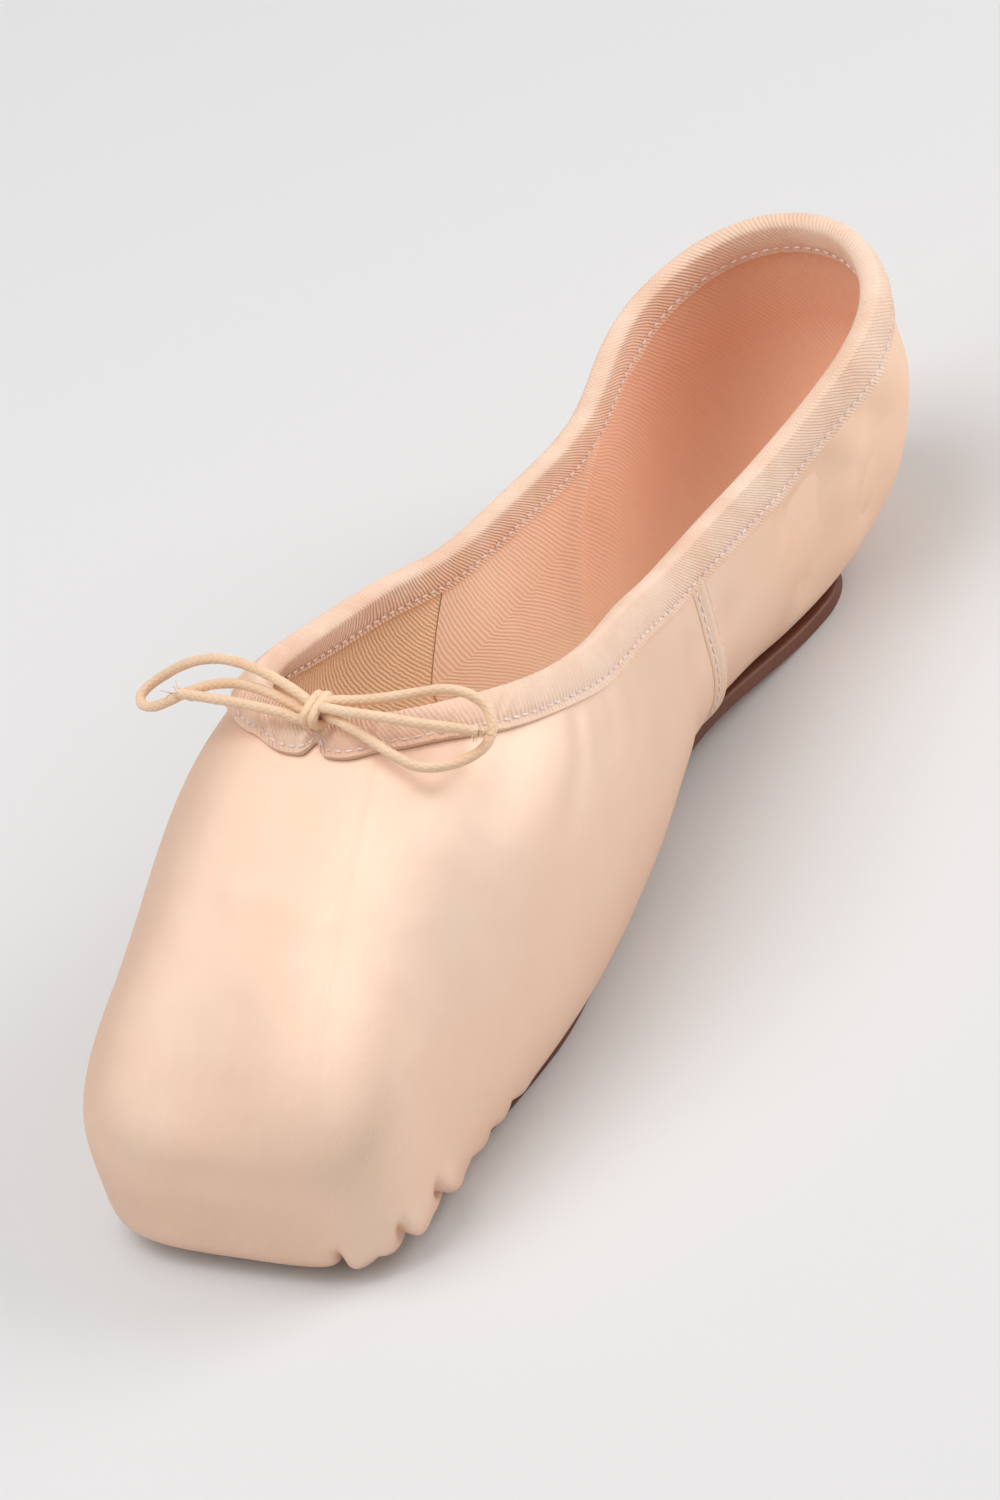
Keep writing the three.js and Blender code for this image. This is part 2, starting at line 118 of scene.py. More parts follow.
# Camera: high over the near side of the toe, far enough away to flatten the shoe a little
CAMERA_AZIMUTH = 40.56
CAMERA_ELEVATION = 33.98
CAMERA_ROLL = -19.13
CAMERA_AWAY = 1.8
CAMERA_AIM = Vector((-0.0048, -0.005, 0.024))
PIXELS_PER_METRE = 5750
FRAME_HEIGHT = 1500
SENSOR = 36


def add_camera():
    a, e, roll = (math.radians(v) for v in (CAMERA_AZIMUTH, CAMERA_ELEVATION, CAMERA_ROLL))
    back = Vector((math.sin(a) * math.cos(e), -math.cos(a) * math.cos(e), math.sin(e)))
    level = Vector((0, 0, 1)).cross(back).normalized()
    up = back.cross(level)
    right = math.cos(roll) * level + math.sin(roll) * up
    up = back.cross(right)
    data = bpy.data.cameras.new("camera")
    data.sensor_width = SENSOR
    data.lens = PIXELS_PER_METRE * CAMERA_AWAY * SENSOR / FRAME_HEIGHT
    data.clip_start = 0.05
    data.clip_end = 50
    camera = bpy.data.objects.new("camera", data)
    turned = Matrix((right, up, back)).transposed().to_4x4()
    camera.matrix_world = Matrix.Translation(CAMERA_AIM + back * CAMERA_AWAY) @ turned
    bpy.context.collection.objects.link(camera)
    bpy.context.scene.camera = camera


add_camera()


# The last: its plan, its heights, and the lines that run over it from the collar
def curve(*rows):
    """A smooth line through the rows that never swings past them."""
    at = np.array([row[0] for row in rows], float)
    to = np.array([row[1] for row in rows], float)
    slope = np.diff(to) / np.diff(at)
    lean = np.zeros(len(at))
    lean[0], lean[-1] = slope[0], slope[-1]
    for i in range(1, len(at) - 1):
        if slope[i - 1] * slope[i] > 0:
            lean[i] = 2 * slope[i - 1] * slope[i] / (slope[i - 1] + slope[i])

    def line(value):
        y = np.clip(np.asarray(value, float), at[0], at[-1])
        i = np.clip(np.searchsorted(at, y, side="left") - 1, 0, len(at) - 2)
        span = at[i + 1] - at[i]
        t = (y - at[i]) / span
        bend = t * (1 - t) ** 2 * span * lean[i] + t * t * (t - 1) * span * lean[i + 1]
        return mix(to[i], to[i + 1], (3 - 2 * t) * t * t) + bend

    return line


plan_half = curve((-0.5 * LENGTH, 0.5 * TOE_WIDTH), (-0.5 * LENGTH + TOE_DEPTH, 0.5 * TOE_WIDTH),
                  (station(0.29), 0.5 * BALL_WIDTH), (station(0.44), 0.444 * BALL_WIDTH),
                  (station(0.605), 0.53 * WAIST_WIDTH), (station(0.755), 0.5 * WAIST_WIDTH),
                  (0.5 * LENGTH - HEEL_DEPTH, 0.5 * HEEL_WIDTH), (0.5 * LENGTH, 0.5 * HEEL_WIDTH))
crown = curve((station(0), PLATFORM_HEIGHT), (station(0.14), 0.725 * INSTEP_HEIGHT),
              (station(0.31), 1.03 * INSTEP_HEIGHT), (station(0.46), 1.12 * INSTEP_HEIGHT),
              (station(0.755), 1.27 * INSTEP_HEIGHT), (station(1), 1.4 * INSTEP_HEIGHT))
widest = curve((station(0), 0.43 * PLATFORM_HEIGHT), (station(0.29), 0.47 * INSTEP_HEIGHT),
               (station(0.585), 0.62 * SIDE_HEIGHT), (station(1), 0.58 * HEEL_HEIGHT))
collar = curve((station(0.415), 1.2 * SIDE_HEIGHT), (station(0.5), 1.205 * SIDE_HEIGHT),
               (station(0.585), 1.11 * SIDE_HEIGHT), (station(0.66), 1.06 * SIDE_HEIGHT),
               (station(0.77), SIDE_HEIGHT), (station(0.86), 1.08 * SIDE_HEIGHT),
               (station(0.93), 0.926 * HEEL_HEIGHT), (station(1), HEEL_HEIGHT))
top_power = curve((station(0.127), 3.5), (station(0.33), 2.55), (station(0.5), 2.3), (station(1), 2.2))
round_power = curve((station(0), 6), (station(0.29), 2.8), (station(0.6), 2.1), (station(1), 1.85))
sole_line = curve((station(0), TOE_SPRING), (station(0.14), 0.2 * TOE_SPRING), (station(0.24), 0),
                  (station(0.36), 0), (station(0.6), ARCH_RISE), (station(0.78), 0), (station(0.9), 0),
                  (station(1), 0.3 * TOE_SPRING))
outsole_half = curve((station(0.12), 0.455 * OUTSOLE_BALL), (station(0.27), 0.5 * OUTSOLE_BALL),
                     (station(0.4), 0.415 * OUTSOLE_BALL), (station(0.6), 0.5 * OUTSOLE_WAIST),
                     (station(0.7), 0.53 * OUTSOLE_WAIST), (station(0.81), 0.5 * OUTSOLE_HEEL))


class Run:
    """A line of points read by its share of the line's length."""

    def __init__(self, points):
        self.points = np.asarray(points, float)
        step = np.linalg.norm(np.diff(self.points, axis=0), axis=1)
        self.run = np.concatenate([[0], np.cumsum(step)])
        self.total = self.run[-1]

    def __call__(self, share):
        want = np.clip(np.asarray(share, float), 0, 1) * self.total
        return np.stack([np.interp(want, self.run, self.points[:, k]) for k in range(self.points.shape[1])], -1)

    def share_at(self, y):
        return self.run[np.argmax(self.points[:, 1] >= y)] / self.total


class Outline:
    """Half of a closed outline seen from above."""

    def __init__(self, front, back, front_depth, back_depth, front_power, back_power, half):
        self.front_end, self.back_start = front + front_depth, back - back_depth
        self.front_depth, self.back_depth = front_depth, back_depth
        self.front_power, self.back_power = front_power, back_power
        self.half = half
        y = mix(front, back, 0.5 - 0.5 * np.cos(np.linspace(0, np.pi, 241)))
        self.at = Run(np.stack([self.reach(y), y, 0 * y], -1))

    def parts(self, y):
        ahead = np.maximum(0, self.front_end - y) / self.front_depth
        behind = np.maximum(0, y - self.back_start) / self.back_depth
        power = np.where(ahead > 0, self.front_power, self.back_power)
        return np.maximum(ahead, behind), power, self.half(np.clip(y, self.front_end, self.back_start))

    def reach(self, y):
        depth, power, width = self.parts(np.asarray(y, float))
        return width * (1 - np.minimum(1, depth) ** power) ** (1 / power)

    def gauge(self, x, y):
        depth, power, width = self.parts(np.asarray(y, float))
        return np.minimum(1, ((np.abs(x) / width) ** power + depth ** power) ** (1 / power))


shoe_plan = Outline(-0.5 * LENGTH, 0.5 * LENGTH, TOE_DEPTH, HEEL_DEPTH, TOE_POWER, HEEL_POWER, plan_half)


def sole_plan(inset):
    return Outline(-0.5 * LENGTH + OUTSOLE_FRONT + inset, 0.5 * LENGTH - OUTSOLE_BACK - inset, OUTSOLE_FRONT_DEPTH,
                   OUTSOLE_BACK_DEPTH, SOLE_FRONT_POWER, SOLE_BACK_POWER, lambda y: outsole_half(y) - inset)


tread_plan = sole_plan(TREAD_INSET)
opening_plan = sole_plan(TREAD_INSET + MARGIN)


def section_power(y):
    return mix(top_power(y), PLATFORM_POWER, np.clip((-0.5 * LENGTH + TOE_DEPTH - y) / TOE_DEPTH, 0, 1))


def top_height(x, y):
    power = section_power(y)
    return mix(widest(y), crown(y), (1 - shoe_plan.gauge(x, y) ** power) ** (1 / power))


def underside(y):
    """The upper's flat underside, which dips before the outsole, under the tip."""
    dip = TOE_DROP * (1 - ease(-0.5 * LENGTH, -0.5 * LENGTH + TOE_DROP_LENGTH, y))
    return sole_line(y) + OUTSOLE_THICKNESS + GAP - dip


def collar_edge():
    throat = -0.5 * LENGTH + VAMP_LENGTH
    back_start = 0.5 * LENGTH - HEEL_DEPTH
    y = mix(throat, back_start, np.linspace(0, 1, 161) ** 1.8)
    power = section_power(y)
    share = np.clip((collar(y) - widest(y)) / (crown(y) - widest(y)), 0, 1)
    short = 1 - np.clip((y - throat) / THROAT_SPAN, 0, 1)
    ahead = (1 - short ** THROAT_END_POWER) ** THROAT_POWER
    angle = mix(np.pi / 2, np.arcsin(share ** (power / 2)), ahead)
    x = shoe_plan.reach(y) * np.abs(np.cos(angle)) ** (2 / power)
    x[0] = 0
    side = np.stack([x, y, mix(widest(y), crown(y), np.sin(angle) ** (2 / power))], -1)
    turn = 0.5 * np.pi * np.arange(1, 61) / 60
    along = HEEL_DEPTH * np.sin(turn) ** (2 / HEEL_POWER)
    across = 0.5 * HEEL_WIDTH * np.abs(np.cos(turn)) ** (2 / HEEL_POWER)
    across[-1] = 0
    inner, outer = np.zeros(60), np.ones(60)
    for _ in range(30):
        share = 0.5 * (inner + outer)
        over = top_height(across * share, back_start + along * share) > collar(back_start + along * share)
        inner, outer = np.where(over, share, inner), np.where(over, outer, share)
    back = back_start + along * inner
    return Run(np.concatenate([side, np.stack([across * inner, back, collar(back)], -1)]))


collar_line = collar_edge()
waist_y = station(0.585)
plan_share = curve((0, 0), (collar_line.share_at(waist_y), shoe_plan.at.share_at(waist_y)), (1, 1))


def make_line(share):
    """A line over the skin: down to the widest level, round to the tread, and in to the opening."""
    rim = collar_line(share)
    place = plan_share(share)
    wide, tread, hole = shoe_plan.at(place), tread_plan.at(place), opening_plan.at(place)
    t = np.linspace(0, 1, 61)
    out = 1 - (1 - t) ** section_power(mix(rim[1], wide[1], t))
    x, y = mix(rim[0], wide[0], out), mix(rim[1], wide[1], out)
    z = top_height(x, y)
    z[0], z[-1] = rim[2], widest(wide[1])
    top = Run(np.stack([x, y, z], -1))
    power = round_power(wide[1])
    turn = 1 - np.abs(np.cos(0.5 * np.pi * t)) ** (2 / power)
    drop = np.sin(0.5 * np.pi * t) ** (2 / power)
    x, y = mix(wide[0], tread[0], turn), mix(wide[1], tread[1], turn)
    under = Run(np.stack([x, y, mix(widest(wide[1]), underside(y), drop)], -1))
    t = np.linspace(0, 1, 5)
    x, y = mix(tread[0], hole[0], t), mix(tread[1], hole[1], t)
    return top, under, Run(np.stack([x, y, underside(y)], -1))


def skin_grid(around, down):
    out = np.zeros((len(around), len(down), 3))
    part = np.clip(np.floor(down).astype(int), 0, 2)
    for i, share in enumerate(around):
        line = make_line(abs(share))
        for k in range(3):
            pick = part == k
            out[i, pick] = line[k](down[pick] - k)
        if share < 0:
            out[i, :, 0] *= -1
    return out


def wall_at(y):
    return mix(BOX_WALL, QUARTER_WALL, ease(station(0.2), station(0.38), y))


# Soft troughs of the satin, pressed in along a line of places (around, down): path, width and depth in millimetres.
# Around runs from the throat, 0, to the heel, 1 on the near side and -1 on the far side. Down is 0 at the collar,
# 1 at the widest level and 2 at the tread. A ridge has a negative depth.
TROUGHS = [
    ([(-0.023, 0.325), (0.0125, 0.331), (0.044, 0.35)], 1.2, 0.3),
    ([(-0.02, 0.36), (0.04, 0.385)], 4.0, -0.3),
    ([(-0.02, 0.74), (0.02, 0.80), (0.055, 0.86)], 10.0, 0.6),
    ([(0.03, 0.42), (0.04, 0.55), (0.045, 0.72)], 16.0, -1.3),
    ([(0.067, 0.86), (0.077, 0.77), (0.108, 0.69), (0.154, 0.61), (0.183, 0.46)], 9.0, 0.45),
    ([(0.262, 0.30), (0.268, 0.50), (0.25, 0.75)], 2.6, 0.4),
    ([(0.285, 0.36), (0.292, 0.48), (0.287, 0.60)], 2.2, 0.22),
    ([(0.306, 0.36), (0.310, 0.50), (0.304, 0.64)], 2.2, 0.28),
    ([(0.334, 0.36), (0.338, 0.56), (0.330, 0.70)], 2.6, 0.25),
    ([(0.432, 0.85), (0.428, 1.25), (0.435, 1.6)], 4.0, 0.6),
    ([(0.490, 1.0), (0.495, 1.35), (0.485, 1.6)], 4.5, 0.8),
    ([(0.638, 0.95), (0.648, 1.16), (0.642, 1.38)], 6.5, 1.7),
    ([(0.695, 0.60), (0.705, 1.0), (0.698, 1.35)], 5.0, -0.8),
    ([(0.600, 0.80), (0.618, 0.98), (0.612, 1.10)], 4.0, 0.9),
    ([(0.672, 0.72), (0.684, 0.86)], 5.0, 1.0),
    ([(0.725, 1.18), (0.70, 1.34)], 6.0, 0.8),
    ([(0.80, 0.62), (0.81, 0.90)], 5.0, -0.8),
    ([(0.745, 0.75), (0.752, 1.0), (0.742, 1.3)], 5.0, 1.5),
    ([(0.86, 0.5), (0.85, 0.9), (0.86, 1.3)], 6.0, 0.6),
    ([(-0.30, 0.30), (-0.315, 0.60)], 3.0, 0.5),
    ([(-0.27, 0.30), (-0.26, 0.55)], 2.6, 0.4),
    ([(-0.43, 0.9), (-0.42, 1.5)], 4.5, 0.8),
    ([(-0.50, 0.8), (-0.51, 1.2), (-0.50, 1.6)], 6.0, 0.9),
    ([(-0.64, 0.6), (-0.65, 1.0), (-0.63, 1.4)], 8.0, 1.3),
    ([(-0.76, 0.7), (-0.77, 1.1)], 6.0, 0.8),
    ([(-0.87, 0.5), (-0.86, 1.2)], 6.0, 0.6),
]

# Pleats under the toe: place in the pleated zone from -1 to 1, how far round the wall the fold reaches, depth in
# millimetres, half width. The last three are the slits inside the deepest folds.
PLEATS = [
    (-0.93, 1.52, 0.9, 0.030), (-0.83, 1.46, 1.2, 0.026), (-0.71, 1.50, 1.0, 0.028), (-0.60, 1.38, 1.5, 0.028),
    (-0.47, 1.44, 1.3, 0.026), (-0.36, 1.33, 1.7, 0.028), (-0.24, 1.40, 1.3, 0.025), (-0.13, 1.30, 1.7, 0.027),
    (-0.02, 1.37, 1.4, 0.025), (0.09, 1.33, 1.6, 0.027), (0.19, 1.38, 1.4, 0.025), (0.285, 1.13, 3.4, 0.024),
    (0.375, 1.24, 1.6, 0.017), (0.455, 1.13, 3.6, 0.024), (0.59, 1.20, 3.4, 0.026), (0.72, 1.44, 1.0, 0.028),
    (0.82, 1.50, 0.9, 0.026), (0.92, 1.54, 0.8, 0.028), (0.287, 1.12, 2.0, 0.011), (0.457, 1.12, 2.2, 0.011),
    (0.592, 1.18, 1.8, 0.011),
]
# A fold's groove, how sharp it is, and the rounded cheek beside it: height, place and width in half widths
PLEAT_SHARPNESS = 1.7
CHEEK_HEIGHT = 0.34
CHEEK_PLACE = 1.5
CHEEK_WIDTH = 1.25


def near_line(points, line):
    """Distance from every point to a line of points."""
    best = np.full(points.shape[:-1], 1e9)
    for a, b in zip(line[:-1], line[1:]):
        ab = b - a
        t = np.clip(((points - a) @ ab) / (ab @ ab), 0, 1)
        best = np.minimum(best, np.linalg.norm(points - (a + t[..., None] * ab), axis=-1))
    return best


def pleat_relief(around, down):
    """Folds that open from the outsole's edge: a sharp groove between rounded cheeks, leaning to one side."""
    place = plan_share(np.abs(around)) * np.sign(around) / PLEAT_ZONE
    total = np.zeros(np.broadcast(around, down).shape)
    for at, head, depth, half in PLEATS:
        side = (place - at) / half
        deepens = ease(head - 0.06, head + 0.10, down) * mix(0.7, 1, ease(1.35, 1.55, down))
        calms = mix(1, 0.45, ease(1.62, 1.95, down))
        groove = np.exp(-np.abs(side) * PLEAT_SHARPNESS)
        cheek = CHEEK_HEIGHT * np.exp(-((side - CHEEK_PLACE) / CHEEK_WIDTH) ** 2)
        total += depth * deepens * calms * (cheek - groove)
    return total


# How fine the skin's grid is: steps round half the shoe, and places down to each of its three levels
SKIN_STEPS = 720
SKIN_DOWN = (150, 130, 16)


def ways_down(counts):
    """Places down the skin, with a count of them to each level: the widest, the tread and the opening."""
    return np.concatenate([np.linspace(0, 1, counts[0])]
                          + [np.linspace(k, k + 1, count)[1:] for k, count in enumerate(counts) if k])


class Skin:
    """The upper's outer face, read at any place by (around, down), with its dents and pleats or without them."""

    def __init__(self):
        half = np.linspace(0, 1, SKIN_STEPS + 1)
        self.down = ways_down(SKIN_DOWN)
        near = skin_grid(half, self.down)
        far = near[:0:-1] * np.array([-1, 1, 1])
        self.around = np.concatenate([-half[:0:-1], half])
        self.base = np.concatenate([far, near])
        self.base_normal = self.normals(self.base)
        relief = np.zeros(self.base.shape[:2])
        for path, width, depth in TROUGHS:
            line = np.array([self.read(self.base, a, d) for a, d in path])
            relief -= depth * np.exp(-((near_line(self.base, line) / width) ** 2))
        relief += pleat_relief(self.around[:, None], self.down[None, :])
        self.point = self.base + relief[..., None] * self.base_normal
        self.normal = self.normals(self.point)
        self.drop = np.linalg.norm(np.diff(self.base[:, :SKIN_DOWN[0]], axis=1), axis=-1).sum(1)

    def normals(self, grid):
        ring = np.concatenate([grid[-2:-1], grid, grid[1:2]])
        return unit(np.cross(np.gradient(grid, axis=1), (ring[2:] - ring[:-2])))

    def read(self, grid, around, down):
        around, down = np.asarray(around, float), np.asarray(down, float)
        i = (np.mod(around + 1, 2)) / 2 * (len(self.around) - 1)
        j = np.interp(down, self.down, np.arange(len(self.down)))
        i0 = np.clip(np.floor(i).astype(int), 0, len(self.around) - 2)
        j0 = np.clip(np.floor(j).astype(int), 0, len(self.down) - 2)
        u, v = i - i0, j - j0
        if grid.ndim == 3:
            u, v = u[..., None], v[..., None]
        return mix(mix(grid[i0, j0], grid[i0 + 1, j0], u), mix(grid[i0, j0 + 1], grid[i0 + 1, j0 + 1], u), v)

    def at(self, around, down, offset=0.0):
        """On the dressed face, lifted off it by the offset."""
        normal = unit(self.read(self.normal, around, down))
        return self.read(self.point, around, down) + normal * np.asarray(offset, float)[..., None]

    def smooth(self, around, down, offset=0.0):
        """On the face of the last, without dents and pleats."""
        normal = unit(self.read(self.base_normal, around, down))
        return self.read(self.base, around, down) + normal * np.asarray(offset, float)[..., None]

    def facing(self, around, down):
        return unit(self.read(self.normal, around, down))

    def to_widest(self, around):
        """Length of the way down from the collar to the widest level."""
        return np.interp(np.mod(around + 1, 2) - 1, self.around, self.drop)


skin = Skin()
EDGE_STEP = 0.004


def below_collar(around, distance, offset):
    """A point at a distance below the collar's edge, square to it, or above it where the distance is negative."""
    around, distance, offset = np.broadcast_arrays(np.asarray(around, float), distance, offset)
    zero = 0 * around
    edge = unit(skin.smooth(around + EDGE_STEP, zero, zero) - skin.smooth(around - EDGE_STEP, zero, zero))
    fall = unit(skin.smooth(around, zero + EDGE_STEP, zero) - skin.smooth(around, zero, zero))
    slant = np.maximum(0.5, np.linalg.norm(np.cross(edge, fall), axis=-1))
    down = np.maximum(0, distance) / slant / skin.to_widest(around)
    return skin.smooth(around, down, offset) + fall * np.minimum(0, distance)[..., None]


# Meshes from grids of points
def surface(name, grid, wrap_u=False, wrap_v=False, uv=None, material=None, caps=False, weld=0.0, crisp=50):
    """A mesh from a grid of points in millimetres, faced outwards when it closes on itself."""
    nu, nv = grid.shape[:2]
    a, b = np.meshgrid(np.arange(nu if wrap_u else nu - 1), np.arange(nv if wrap_v else nv - 1), indexing="ij")
    a, b = a.ravel(), b.ravel()
    corner_u = np.stack([a, a + 1, a + 1, a], 1)
    corner_v = np.stack([b, b, b + 1, b + 1], 1)
    quads = (corner_u % nu) * nv + corner_v % nv
    points = grid.reshape(-1, 3)
    faces = quads.tolist()
    if caps:
        faces += [list(range(nv - 1, -1, -1)), list(range((nu - 1) * nv, nu * nv))]
    if wrap_u or wrap_v:
        p = points[quads]
        volume = (np.einsum("ij,ij->i", p[:, 0], np.cross(p[:, 1], p[:, 2]))
                  + np.einsum("ij,ij->i", p[:, 0], np.cross(p[:, 2], p[:, 3]))).sum()
        if volume < 0:
            faces = [face[::-1] for face in faces]
            corner_u, corner_v = corner_u[:, ::-1], corner_v[:, ::-1]
    mesh = bpy.data.meshes.new(name)
    mesh.from_pydata((points * MM).tolist(), [], faces)
    layer = mesh.uv_layers.new(name="UVMap")
    if uv is not None:
        flat = np.zeros((len(mesh.loops), 2))
        flat[: 4 * len(quads)] = uv[corner_u.ravel(), corner_v.ravel()]
        layer.data.foreach_set("uv", flat.ravel())
    mesh.shade_smooth()
    mesh.set_sharp_from_angle(angle=math.radians(crisp))
    if material:
        mesh.materials.append(material)
    obj = bpy.data.objects.new(name, mesh)
    bpy.context.collection.objects.link(obj)
    if weld:
        work = bmesh.new()
        work.from_mesh(mesh)
        bmesh.ops.remove_doubles(work, verts=work.verts, dist=weld)
        work.to_mesh(mesh)
        work.free()
    return obj


def belongs(obj, slot, *nodes):
    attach(obj, "root")
    if nodes:
        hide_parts(*nodes)
    return obj


def lengths(grid, axis, wrap):
    """Running length along an axis of a grid of points, with one more entry where it closes."""
    line = grid.mean(axis=1 - axis)
    if wrap:
        line = np.concatenate([line, line[:1]])
    return np.concatenate([[0], np.cumsum(np.linalg.norm(np.diff(line, axis=0), axis=1))])


def cloth_uv(grid, wrap_u=False, wrap_v=False):
    """UV in metres along the two ways of a grid, so that a weave has one size everywhere."""
    u, v = lengths(grid, 0, wrap_u) * MM, lengths(grid, 1, wrap_v) * MM
    return np.stack(np.meshgrid(u, v, indexing="ij"), -1)


# Materials
def group(name, inputs, outputs):
    tree = bpy.data.node_groups.new(name, "ShaderNodeTree")
    for label, kind, value in inputs:
        socket = tree.interface.new_socket(label, in_out="INPUT", socket_type=kind)
        if value is not None:
            socket.default_value = value
    for label, kind in outputs:
        tree.interface.new_socket(label, in_out="OUTPUT", socket_type=kind)
    return tree, tree.nodes.new("NodeGroupInput"), tree.nodes.new("NodeGroupOutput")


def node(tree, kind, inputs=None, **settings):
    made = tree.nodes.new(kind)
    for key, value in settings.items():
        setattr(made, key, value)
    for key, value in (inputs or {}).items():
        if isinstance(value, bpy.types.NodeSocket):
            tree.links.new(value, made.inputs[key])
        else:
            made.inputs[key].default_value = value
    return made


def maths(tree, operation, a, b=None):
    inputs = {0: a}
    if b is not None:
        inputs[1] = b
    return node(tree, "ShaderNodeMath", inputs, operation=operation).outputs[0]


def make_twill():
    """Fine slanting ribs across a UV in metres, broken up a little, with the threads of the other way."""
    tree, start, end = group("Twill", [("Vector", "NodeSocketVector", None), ("Pitch", "NodeSocketFloat", 0.0007),
                                       ("Slant", "NodeSocketFloat", 1.0)], [("Height", "NodeSocketFloat")])
    parts = node(tree, "ShaderNodeSeparateXYZ", {0: start.outputs["Vector"]})
    jitter = node(tree, "ShaderNodeTexNoise", {"Vector": start.outputs["Vector"], "Scale": 260.0, "Detail": 2.0})
    shift = maths(tree, "MULTIPLY", jitter.outputs["Fac"], 0.0009)
    lean = maths(tree, "MULTIPLY", parts.outputs[1], start.outputs["Slant"])
    along = maths(tree, "ADD", maths(tree, "ADD", parts.outputs[0], lean), shift)
    turns = maths(tree, "MULTIPLY", maths(tree, "DIVIDE", along, start.outputs["Pitch"]), 2 * math.pi)
    rib = maths(tree, "SINE", turns)
    across = maths(tree, "DIVIDE", maths(tree, "SUBTRACT", parts.outputs[0], lean), start.outputs["Pitch"])
    cross = maths(tree, "SINE", maths(tree, "MULTIPLY", across, 4 * math.pi))
    height = maths(tree, "ADD", maths(tree, "MULTIPLY", rib, 0.4), maths(tree, "MULTIPLY", cross, 0.12))
    tree.links.new(maths(tree, "ADD", height, 0.5), end.inputs["Height"])
    return tree


def make_mottle():
    """Two colours mixed softly over the object, as cloth takes dye and light."""
    tree, start, end = group("Mottle", [("Light", "NodeSocketColor", None), ("Dark", "NodeSocketColor", None),
                                        ("Scale", "NodeSocketFloat", 30.0)], [("Color", "NodeSocketColor")])
    place = node(tree, "ShaderNodeTexCoord")
    noise = node(tree, "ShaderNodeTexNoise", {"Vector": place.outputs["Object"], "Scale": start.outputs["Scale"],
                                              "Detail": 3.0, "Roughness": 0.5})
    ramp = node(tree, "ShaderNodeMapRange", {"Value": noise.outputs["Fac"], "From Min": 0.36, "From Max": 0.66})
    blend = node(tree, "ShaderNodeMix", {"Factor": ramp.outputs[0], "A": start.outputs["Light"],
                                         "B": start.outputs["Dark"]}, data_type="RGBA")
    tree.links.new(blend.outputs["Result"], end.inputs["Color"])
    return tree


TWILL = make_twill()
MOTTLE = make_mottle()


def material(name, light, dark, roughness, scale=30.0, **constants):
    """A material with a mottled colour; constants are sockets of the shader by name."""
    made = bpy.data.materials.new(name)
    made.use_nodes = True
    tree = made.node_tree
    shader = tree.nodes["Principled BSDF"]
    shader.inputs["Roughness"].default_value = roughness
    for key, value in constants.items():
        shader.inputs[key.replace("_", " ")].default_value = value
    mottle = node(tree, "ShaderNodeGroup", node_tree=MOTTLE)
    mottle.inputs["Light"].default_value = (*light, 1)
    mottle.inputs["Dark"].default_value = (*dark, 1)
    mottle.inputs["Scale"].default_value = scale
    tree.links.new(mottle.outputs["Color"], shader.inputs["Base Color"])
    return made, tree, shader


def bump(tree, shader, height, strength, distance, below=None):
    made = node(tree, "ShaderNodeBump", {"Height": height, "Strength": strength, "Distance": distance})
    if below is not None:
        tree.links.new(below, made.inputs["Normal"])
    tree.links.new(made.outputs["Normal"], shader.inputs["Normal"])
    return made.outputs["Normal"]


def twill(tree, pitch, slant):
    place = node(tree, "ShaderNodeUVMap", uv_map="UVMap")
    return node(tree, "ShaderNodeGroup", {"Vector": place.outputs[0], "Pitch": pitch, "Slant": slant},
                node_tree=TWILL).outputs["Height"]


def grain(tree, scale, detail=4.0):
    place = node(tree, "ShaderNodeTexCoord")
    return node(tree, "ShaderNodeTexNoise", {"Vector": place.outputs["Object"], "Scale": scale,
                                             "Detail": detail}).outputs["Fac"]


WAVE_SCALE = 55.0
WAVE_DEPTH = 0.004
RIB_DEPTH = 0.0002


def cloth(name, light, dark, roughness, pitch, slant, rib, waves=0.0, scale=30.0, **constants):
    """A woven cloth: pitch is the width of a rib in metres, slant its lean, rib and waves the strengths of relief."""
    made, tree, shader = material(name, light, dark, roughness, scale, **constants)
    normal = None
    if waves:
        normal = bump(tree, shader, grain(tree, WAVE_SCALE, 2.0), waves, WAVE_DEPTH)
    bump(tree, shader, twill(tree, pitch, slant), rib, RIB_DEPTH, normal)
    return made


def tint(made, share, colour):
    """Mixes a colour over the material's own by a share that a node puts out."""
    tree = made.node_tree
    shader = tree.nodes["Principled BSDF"]
    base = shader.inputs["Base Color"].links[0].from_socket
    blend = node(tree, "ShaderNodeMix", {"Factor": share, "A": base, "B": (*colour, 1)}, data_type="RGBA")
    tree.links.new(blend.outputs["Result"], shader.inputs["Base Color"])


def painted_edge_shade(made, colour, blend):
    """Painted shade: the satin turns deeper and warmer where its face turns away from the view; the colour shifts
    with the angle of view.
    """
    turned = node(made.node_tree, "ShaderNodeLayerWeight", {"Blend": blend})
    tint(made, turned.outputs["Facing"], colour)


def paint_heel_shading(made, colour, front, back):
    """Painted shading: a second colour that comes in towards the heel, between two places along the shoe in metres.
    """
    tree = made.node_tree
    place = node(tree, "ShaderNodeTexCoord")
    parts = node(tree, "ShaderNodeSeparateXYZ", {0: place.outputs["Object"]})
    share = node(tree, "ShaderNodeMapRange", {"Value": parts.outputs[1], "From Min": front, "From Max": back},
                 interpolation_type="SMOOTHSTEP")
    tint(made, share.outputs[0], colour)


